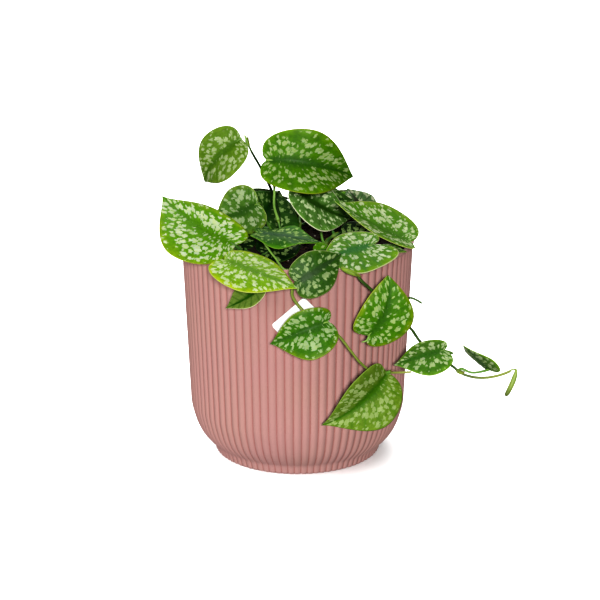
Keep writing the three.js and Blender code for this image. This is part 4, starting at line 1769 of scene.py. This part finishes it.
        def radius_at(distance: float, angle: float) -> float:
            """Finds the radius, wider where it clasps the vine, with a channel on one side.

            Args:
                distance: Millimetres along the stalk.
                angle: Radians round it.

            Returns:
                The radius.
            """
            left = clamp((curve.length - distance) / (2 * self.stalk_under_blade))
            slimmer = clamp(plan.width / self.full_stalk_width, 0.6, 1.0)
            body = blend(self.stalk_end, self.stalk_radius, left) * slimmer
            clasp = self.clasp[0] * clamp(1 - distance / self.clasp[1]) ** 1.5
            swell, reach = self.knee
            behind = (curve.length - self.stalk_under_blade - reach - distance) / reach
            knee = swell * math.exp(-(behind**2))
            channel = 0.16 * max(math.cos(angle), 0.0) ** 6
            end = rounded_end(curve.length - distance, 2.0, 0.03)
            return (body + clasp + knee) * (1 - channel) * end

        sweep(
            bm,
            curve,
            self.stalk_sides,
            self.stalk_step,
            radius_at,
            lambda distance: 0.8 * clamp(1 - (curve.length - self.stalk_under_blade - distance) / 6),
            slot=2,
        )
        if plan.spur:
            stub = Curve(plan.spur)
            sweep(bm, stub, 10, 0.7, lambda distance, angle: blend(1.0, 0.45, distance / stub.length), slot=2)

    def build(self, vine: Vine, slot: str, underside: Material, stalk: Material) -> None:
        """Builds the leaf and sets it in place of its node.

        Args:
            vine: The vine that the leaf grows on.
            slot: The record's material slot of the leaf.
            underside: Material of the lower face.
            stalk: Material of the stalk.
        """
        bm = new_mesh()
        self.build_blade(bm)
        self.build_stalk(bm, vine)
        name, tone = self.plan.name, self.plan.tone.value
        cuticle = LeafCuticle(f"cuticle_{name}", tone, seed=13.7 * self.number)
        write_piece(bm, f"{name}_grown", name, slot, [cuticle.material(), underside, stalk])


@dataclass
class RolledLeaf:
    """The youngest leaf, still rolled up into a spindle on a short stalk."""

    points: tuple[Point, ...] = (
        (166.5, -32.8, 73.5), (170, -32.2, 75.4), (172.3, -32, 74.6), (171.8, -32.5, 70),
        (169, -34, 63), (164.5, -36, 54),
    )
    radius: float = 2.3
    stalk: float = 5.0
    stalk_radius: float = 0.7
    sides: int = 28
    step: float = 0.5
    finish: StemRind = field(
        default_factory=lambda: StemRind("rolled_blade", "#a3b35c", "#678428", "#4a5a1c", 0.42)
    )

    def build(self) -> None:
        """Sweeps the spindle, with the free margin as a seam that winds round it."""
        bm = new_mesh()
        curve = Curve(self.points)

        def radius_at(distance: float, angle: float) -> float:
            """Finds the spindle's radius. The overlap makes a step that turns as it rises.

            Args:
                distance: Millimetres along the curve.
                angle: Radians round it.

            Returns:
                The radius.
            """
            share = clamp((distance - self.stalk) / (curve.length - self.stalk))
            swell = math.sin(0.8 * math.pi * share**0.8)
            turn = (angle / FULL_TURN + 0.9 * share) % 1.0
            body = blend(self.stalk_radius, self.radius, swell)
            return body * (0.84 + 0.16 * turn) * rounded_end(curve.length - distance, 1.5, 0.04)

        sweep(
            bm,
            curve,
            self.sides,
            self.step,
            radius_at,
            lambda distance: 0.85 * clamp((distance / curve.length - 0.62) / 0.35),
        )
        write_piece(bm, "leaf_rolled_grown", "leaf_rolled", "leaf_young", [self.finish.material()])


# ---------------- the plant's layout


# Undersides and stalks, by the material slot of the leaves that have them.
UNDERSIDES = {
    "leaf_lime": LeafUnderside("underside_lime", "#8fae54", "#bccf8c"),
    "leaf_bright": LeafUnderside("underside_bright", "#7fa058", "#b0c78a"),
    "leaf_green": LeafUnderside("underside_green", "#6f9454", "#a3bd82"),
    "leaf_dark": LeafUnderside("underside_dark", "#56783f", "#8aa56c"),
}
STALKS = {
    "leaf_lime": StemRind("stalk_lime", "#86ad3f", "#6d9430", "#7f9c3c"),
    "leaf_bright": StemRind("stalk_bright", "#8bb057", "#6c9440", "#7d9a45"),
    "leaf_green": StemRind("stalk_green", "#6c9a3a", "#527c2c", "#6a8a38"),
    "leaf_dark": StemRind("stalk_dark", "#4f7d36", "#376026", "#4c6e2c"),
}

# The points of each vine run from the soil to its growing tip.
VINES: tuple[Vine, ...] = (
    Vine(
        "vine_right",
        points=(
            (24, -50, 168), (31, -66, 175), (37.5, -78, 178.2), (42.5, -86.5, 174.8), (46.5, -89, 168),
            (56, -83.5, 157), (71, -70, 138), (88, -52, 115.5), (96, -42, 101.5), (109, -34, 87),
            (122, -32, 78), (129, -33, 72.5), (138, -34, 69.5), (150, -34, 69), (162, -33, 71.5),
            (169, -32.5, 74.5),
        ),
        # The rind's colours are darkened, partly as painted shade for the shadow of the leaf that hangs over
        # the vine's first stretch.
        finish=StemRind("rind_right", "#4c6c26", "#2a451b", "#84903c"),
        shoot=((75, -66, 133), (80, -69, 141), (85, -71.5, 147), (90, -73.5, 146.2), (95, -75, 143.5)),
        scale_leaf=((32.5, -89.5, 176.5), (37, -92, 175), (42, -92.5, 173), (47.5, -91.5, 170)),
        young=44.0, radius=1.15, taper=0.08,
    ),
    Vine(
        "vine_front",
        points=(
            (10, -56, 168), (8, -76, 177.5), (4, -90, 178.8), (1.5, -95.5, 175), (-1, -96.5, 168),
            (-4, -96.5, 158), (3, -97, 146.5), (17, -98.5, 136), (31, -98.5, 125.5), (40, -96, 113),
            (48, -93, 102), (58, -88, 93), (74, -78, 89), (88, -71, 87),
        ),
        finish=StemRind("rind_front", "#8c9648", "#66802c", "#a0a855"),
        young=20.0,
    ),
    Vine(
        "vine_top_left",
        points=(
            (-14, 14, 168), (-15, 15, 190), (-21, 8, 212), (-29, 2, 231), (-35, -2, 243),
            (-38, -4, 250), (-41, -6, 259),
        ),
        finish=StemRind("rind_top_left", "#26421c", "#16290f", "#86a850"),
        young=17.0,
    ),
    Vine(
        "vine_centre",
        points=((-6, -18, 168), (-9, -16, 176), (-13, -14, 184), (-15, -13, 192)),
        finish=StemRind("rind_centre", "#6c9440", "#4f7d36", "#8aa64e"),
    ),
    Vine(
        "vine_left",
        points=((-30, -36, 168), (-36, -46, 172.5), (-41, -56, 176), (-44, -64, 180)),
        finish=StemRind("rind_left", "#5a8434", "#40682a", "#86a04c"),
    ),
    Vine(
        "vine_back_right",
        points=((24, 12, 168), (32, 10, 174), (44, 6, 178), (56, -2, 180), (66, -12, 183)),
        finish=StemRind("rind_back_right", "#4f7d36", "#35602a", "#7f9c48"),
    ),
    Vine(
        "vine_back",
        points=(
            (2, 42, 168), (2, 54, 176), (4, 70, 182), (6, 86, 184), (8, 99, 178), (9, 103, 165),
            (10, 102, 148), (13, 101, 132),
        ),
        finish=StemRind("rind_back", "#5f8a34", "#42702a", "#86a04c"),
    ),
)

LEAVES: tuple[LeafPlan, ...] = (
    LeafPlan(
        "leaf_top_left", Foliage.OLIVE,
        joint=(-44, -5, 255), tip=(-73, 12, 216), faces=(-44, 6), width=42, shoulder=0.24,
        arch=0.18, fold=0.3, curl=0.08, lobes=(0.04, 0.04), skew=0.07,
        vine="vine_top_left", at=0.92, via=((-43.6, -4, 253.5),),
    ),
    LeafPlan(
        "leaf_top", Foliage.BRIGHT,
        joint=(-23, -20, 242), tip=(44, 2, 223), faces=(25, 23), width=50.8, shoulder=0.26,
        arch=0.19, fold=0.44, curl=0, lobes=(0.07, 0.07), skew=-0.03,
        vine="vine_centre", at=1, via=((-18, -13, 203), (-18, -11, 219), (-21, -11, 235)),
    ),
    LeafPlan(
        "leaf_left_rim", Foliage.LIME,
        joint=(-48, -58, 185.5), tip=(-105, -19, 213.5), faces=(3, 56), width=57,
        arch=0.08, fold=0.14, curl=0.09, lobes=(0.05, 0.05), skew=0.28, bow=0.1,
        vine="vine_left", at=0.5, via=((-42, -54, 179),), stalk="leaf_dark",
    ),
    LeafPlan(
        "leaf_front_left", Foliage.LEMON,
        joint=(-53.5, -96, 184.6), tip=(1, -121, 169.7), faces=(11, 66), width=45,
        arch=-0.02, fold=-0.08, curl=0.03, lobes=(0.06, 0.12), skew=-0.06, bow=0.03,
        vine="vine_left", at=1, via=((-48, -78, 185.5), (-50.5, -88, 186.3)),
    ),
    LeafPlan(
        "leaf_front_left_low", Foliage.PLAIN,
        joint=(-27, -96.5, 164.2), tip=(-54, -100, 148), faces=(-40, 35), width=27,
        arch=-0.05, fold=0.08, curl=0.05, skew=-0.25, bow=0.04,
        vine="vine_left", at=0.4, via=((-33, -62, 176), (-32, -80, 178.5), (-28, -93, 175), (-26, -97, 169)),
    ),
    LeafPlan(
        "leaf_left_inner", Foliage.MIDDLE,
        joint=(-31, -20, 207), tip=(-68, 0, 184), faces=(-15, 5), width=40,
        arch=-0.03, fold=0.05, curl=0.1, lobes=(0.07, 0.07),
        vine="vine_top_left", at=0.1, via=((-24, 2, 186), (-28, -8, 202)),
    ),
    LeafPlan(
        "leaf_back_dark", Foliage.DARK,
        joint=(-31, 27, 177), tip=(-14, 56, 198), faces=(20, 40), width=50,
        arch=0.05, fold=0.15, curl=0, skew=-0.15,
        vine="vine_top_left", at=0.05, via=((-22, 19, 175),),
    ),
    LeafPlan(
        "leaf_centre_wavy", Foliage.MUTED,
        joint=(-29, -45, 191), tip=(20, -54, 185), faces=(10, 80), width=32,
        arch=0.02, fold=0, curl=0, lobes=(0.12, 0.12), wave=4,
        vine="vine_front", at=0.06, via=((0, -73, 172), (-9, -74, 170), (-17, -62, 176), (-26, -49, 185)),
        stalk="leaf_bright",
    ),
    LeafPlan(
        "leaf_centre_right", Foliage.SHADED,
        joint=(-1, 0, 213), tip=(43, 19, 184), faces=(44, 30), width=43,
        arch=0.08, fold=0.21, curl=0.04, lobes=(0.11, 0.11), skew=-0.11, bow=-0.11,
        vine="vine_back_right", at=0.1, via=((16, 16, 186), (2, 10, 204)),
    ),
    LeafPlan(
        "leaf_right", Foliage.PALE,
        joint=(86, -38, 182), tip=(28, -35, 214), faces=(62, 59), width=51,
        arch=-0.04, fold=0.19, curl=0, lobes=(0.08, 0.08), skew=-0.2, bow=-0.02,
        vine="vine_back_right", at=1, via=((76, -24, 183), (85, -33, 181)),
    ),
    LeafPlan(
        "leaf_back_right", Foliage.DIM,
        joint=(8, 36, 192), tip=(45, 48, 192), faces=(5, 45), width=32,
        arch=0.08, fold=0.1, curl=0.05,
        vine="vine_back_right", at=0.25, via=((22, 24, 182), (10, 32, 188)),
    ),
    LeafPlan(
        "leaf_far_right", Foliage.GREYED,
        joint=(54, 43, 181), tip=(40, 62, 198), faces=(20, 35), width=30,
        arch=0.08, fold=0.1, curl=0.05,
        vine="vine_back_right", at=0.5, via=((46, 22, 180), (53, 36, 179)),
    ),
    LeafPlan(
        "leaf_right_rim", Foliage.SILVERED,
        joint=(56.5, -70.5, 188.7), tip=(16, -89, 180.2), faces=(12, 55), width=40,
        arch=-0.02, fold=0, curl=0.06, lobes=(0.34, 0.18), skew=0.13, bow=-0.05,
        vine="vine_right", at=0.1, via=((36, -58, 182), (52, -60, 186)),
    ),
    LeafPlan(
        "leaf_front_centre", Foliage.DUSKY,
        joint=(0, -106, 170.4), tip=(33, -82.5, 185.5), faces=(29, 27), width=34,
        arch=0.15, fold=0, curl=0.12, lobes=(0.05, 0.08), skew=-0.09,
        vine="vine_front", at=0.26, via=((-2, -104.8, 167.5),),
    ),
    LeafPlan(
        "leaf_hanging_front", Foliage.FRESH,
        joint=(22, -106, 139), tip=(-21, -104, 121), faces=(-9, 16), width=38,
        arch=0.12, fold=0.26, curl=0.04, lobes=(0.11, 0.11), skew=0.22,
        vine="vine_front", at=0.53, via=((29, -101.5, 128), (25, -103.5, 134)),
    ),
    LeafPlan(
        "leaf_hanging_right", Foliage.CLEAR,
        joint=(54, -92, 124), tip=(68, -87, 170), faces=(8, 5), width=42, shoulder=0.5,
        arch=0.05, fold=0.1, curl=0.1, lobes=(0.02, 0.17), skew=-0.12, bow=-0.125,
        vine="vine_right", at=0.4, via=((66, -80, 132), (57, -90, 120)),
        spur=((54, -92.5, 123), (52, -94.5, 120.5), (48.5, -95, 119.5)),
    ),
    LeafPlan(
        "leaf_hanging_low", Foliage.MELLOW,
        joint=(68, -84, 90), tip=(18, -97, 53), faces=(22, 0), width=48,
        arch=0.1, fold=0.35, curl=0.05, lobes=(0.06, 0.02), skew=0.1, bow=0.04,
        vine="vine_front", at=0.88, via=((71, -85, 92),),
    ),
    LeafPlan(
        "leaf_trailing", Foliage.DEEP,
        joint=(113, -55, 99), tip=(74, -64, 90), faces=(-1, 48), width=31,
        arch=0.02, fold=0.04, curl=0.04, lobes=(0.12, 0.12), skew=0.2,
        vine="vine_right", at=0.7, via=((121, -42, 92),),
    ),
    LeafPlan(
        "leaf_trailing_folded", Foliage.DEEP,
        joint=(151, -33, 75.6), tip=(129, -42, 99), faces=(-50, -40), width=32,
        arch=0.01, fold=0, curl=0.18, lobes=(0.12, 0.12),
        vine="vine_right", at=0.82, via=((137, -34.4, 73.4), (144, -34.5, 74)),
        stalk="leaf_green",
    ),
    LeafPlan(
        "leaf_inner_front", Foliage.DARKEST,
        joint=(-24, -48, 176), tip=(6, -26, 184), faces=(8, 58), width=32,
        vine="vine_left", at=0.2, via=((-27, -44, 173),),
    ),
    LeafPlan(
        "leaf_inner_left", Foliage.DARKEST,
        joint=(-41, -32, 175), tip=(-57, -12, 181), faces=(20, 50), width=26,
        vine="vine_left", at=0.2, via=((-38, -36, 173),),
    ),
    LeafPlan(
        "leaf_inner_small", Foliage.BRIGHT,
        joint=(14, -66, 181.5), tip=(28, -63, 183), faces=(-10, 50), width=16,
        fold=0.1, curl=0.04,
        vine="vine_front", at=0.07, via=((14, -63, 178),),
    ),
    LeafPlan(
        "leaf_inner_right", Foliage.DARKEST,
        joint=(36, -16, 179), tip=(62, -14, 174), faces=(10, 42), width=30,
        vine="vine_right", at=0.05, via=((34, -40, 174), (37, -26, 176)),
    ),
    LeafPlan(
        "leaf_right_under", Foliage.DEEP,
        joint=(58, -40, 175), tip=(84, -52, 177.5), faces=(15, 75), width=20,
        vine="vine_right", at=0.06, via=((38, -50, 177), (50, -42, 175)),
    ),
    LeafPlan(
        "leaf_back_left", Foliage.DEEP,
        joint=(-16, 70, 190), tip=(-54, 84, 172), faces=(200, 50), width=42,
        arch=0.1, fold=0.12,
        vine="vine_back", at=0.22, via=((-8, 64, 186),),
    ),
    LeafPlan(
        "leaf_back_rim", Foliage.MIDDLE,
        joint=(28, 84, 188), tip=(62, 108, 160), faces=(150, 40), width=46,
        arch=0.1, fold=0.12,
        vine="vine_back", at=0.4, via=((20, 80, 188),),
    ),
    LeafPlan(
        "leaf_back_hanging", Foliage.BRIGHT,
        joint=(-2, 110, 164), tip=(-24, 112, 122), faces=(185, 15), width=42,
        arch=0.1, fold=0.12,
        vine="vine_back", at=0.6, via=((3, 111, 166),),
    ),
    LeafPlan(
        "leaf_back_low", Foliage.BRIGHT,
        joint=(22, 106, 128), tip=(40, 104, 96), faces=(170, 10), width=32,
        arch=0.1, fold=0.12,
        vine="vine_back", at=1, via=((16, 104, 128),),
    ),
    LeafPlan(
        "leaf_back_inner", Foliage.DEEP,
        joint=(28, 60, 184), tip=(58, 56, 182), faces=(20, 40), width=26,
        arch=0.08, fold=0.1, curl=0.05,
        vine="vine_back", at=0.12, via=((14, 56, 178),),
    ),
)


@dataclass
class Plant:
    """The whole plant: its vines, and the leaves that grow on them."""

    vines: tuple[Vine, ...] = VINES
    leaves: tuple[LeafPlan, ...] = LEAVES
    youngest: RolledLeaf = field(default_factory=RolledLeaf)

    def build(self) -> None:
        """Builds each vine, each leaf at its node, and the rolled leaf at the end."""
        for vine in self.vines:
            vine.build([vine.distance(plan.at) for plan in self.leaves if plan.vine == vine.name])
        slots = {part["node"]: part["material_slot"] for part in frame["record"]["subparts"]}
        undersides = {slot: finish.material() for slot, finish in UNDERSIDES.items()}
        stalks = {slot: finish.material() for slot, finish in STALKS.items()}
        named = {vine.name: vine for vine in self.vines}
        for number, plan in enumerate(self.leaves):
            slot = slots[plan.name]
            Leaf(plan, number).build(named[plan.vine], slot, undersides[slot], stalks[plan.stalk or slot])
        self.youngest.build()


# ---------------- studio


@dataclass(frozen=True)
class Softbox:
    """A soft light: its strength, how wide it looks, and where it stands, all in degrees."""

    name: str
    strength: float
    width: float
    turn: float  # round from the front
    rise: float

    def build(self, only: Object | None = None) -> None:
        """Adds the light.

        Args:
            only: The one thing that the light falls on, if it doesn't fall on everything.
        """
        data = bpy.data.lights.new(self.name, "SUN")
        data.energy = self.strength
        data.angle = math.radians(self.width)
        lamp = bpy.data.objects.new(self.name, data)
        source = direction(self.turn, self.rise)
        lamp.rotation_euler = source.to_track_quat("Z", "Y").to_euler()
        lamp.location = source
        if only:
            alone = bpy.data.collections.new(f"{self.name}_only")
            alone.objects.link(only)
            lamp.light_linking.receiver_collection = alone
        bpy.context.collection.objects.link(lamp)


@dataclass
class Studio:
    """Pale floor, soft lights, white surround and the camera."""

    floor_size: float = 9000.0
    floor_drop: float = 0.3
    camera: Point = (0.0, -1600.0, 635.5)
    pitch: float = 17.78  # degrees down
    yaw: float = -0.073
    lens: float = 126.6
    clip: Pair = (0.05, 30.0)
    lights: tuple[Softbox, ...] = (
        Softbox("front_softbox", 2.65, 7.0, 3.0, 18.5),
        Softbox("side_softbox", 0.84, 45.0, -62.0, 12.0),
        Softbox("overhead_softbox", 0.35, 50.0, -20.0, 70.0),
        Softbox("back_softbox", 1.2, 30.0, 176.0, 52.0),
    )
    # This light falls on the floor alone, and so whitens it up to the shadow beside the foot.
    floor_light: Softbox = Softbox("floor_softbox", 5.2, 150.0, -100.0, 50.0)
    # This light falls on the pot alone, and so lights the ribs on its far side.
    pot_light: Softbox = Softbox("rear_softbox", 1.5, 60.0, 160.0, 12.0)
    surround: Pair = (0.18, 0.03)  # strength at the left and at the right
    bounce: float = 0.4  # strength straight below, as off a white floor
    finish: OpalAcrylic = field(default_factory=OpalAcrylic)

    def build(self, pot: Object) -> None:
        """Lays the floor and sets up the lights and the camera.

        Args:
            pot: The pot's wall, which has a light of its own behind it.
        """
        floor = self.lay_floor()
        for light in self.lights:
            light.build()
        self.floor_light.build(floor)
        self.pot_light.build(pot)
        self.add_surround()
        self.add_camera()

    def lay_floor(self) -> Object:
        """Lays the floor just under the pot's foot.

        Returns:
            The floor.
        """
        bm = new_mesh()
        bmesh.ops.create_grid(bm, x_segments=1, y_segments=1, size=self.floor_size / 2 * MM)
        bmesh.ops.translate(bm, vec=(0, 0, -self.floor_drop * MM), verts=bm.verts)
        mesh = bpy.data.meshes.new("studio_floor")
        bm.to_mesh(mesh)
        bm.free()
        mesh.materials.append(self.finish.material())
        floor = bpy.data.objects.new("studio_floor", mesh)
        bpy.context.collection.objects.link(floor)
        # The object is lit by the surround from below, not by glare off the floor.
        floor.visible_diffuse = False
        floor.visible_glossy = False
        return floor

    def add_surround(self) -> None:
        """Adds a white surround that is brighter on the left and below."""
        world = bpy.data.worlds.new("surround")
        world.use_nodes = True
        tree = world.node_tree
        tree.nodes.clear()
        towards = add_node(tree, "TexCoord").outputs["Generated"]
        parts = add_node(tree, "SeparateXYZ", inputs={0: towards})
        left, right = self.surround
        level = add_node(tree, "MapRange", inputs={
            "Value": parts.outputs["X"], "From Min": -1.0, "From Max": 1.0, "To Min": left, "To Max": right,
        })
        lifted = add_node(tree, "MapRange", inputs={
            "Value": parts.outputs["Z"], "From Min": -0.2, "From Max": -0.9, "To Max": self.bounce,
        })
        both = add_node(tree, "Math", {"operation": "ADD"}, {0: level.outputs[0], 1: lifted.outputs[0]})
        back = add_node(tree, "Background", inputs={"Color": grey(1.0), "Strength": both.outputs[0]})
        add_node(tree, "OutputWorld", inputs={"Surface": back.outputs[0]})
        bpy.context.scene.world = world

    def add_camera(self) -> None:
        """Adds the camera, which looks a little down at the pot."""
        data = bpy.data.cameras.new("camera")
        data.lens = self.lens
        data.sensor_width = 36.0
        data.clip_start, data.clip_end = self.clip
        camera = bpy.data.objects.new("camera", data)
        camera.location = Vector(self.camera) * MM
        camera.rotation_euler = (math.radians(90 - self.pitch), 0, math.radians(self.yaw))
        bpy.context.collection.objects.link(camera)
        scene = bpy.context.scene
        scene.camera = camera
        scene.view_settings.view_transform = "Standard"
        scene.view_settings.look = "High Contrast"


def main() -> None:
    """Builds every piece in order, from the pot up."""
    logging.basicConfig(level=logging.INFO, format="%(name)s: %(message)s")
    pot = Pot()
    wall = pot.build()
    Soil().build()
    PlantLabel().build(pot)
    Plant().build()
    Studio().build(wall)


if __name__ == "__main__":
    main()
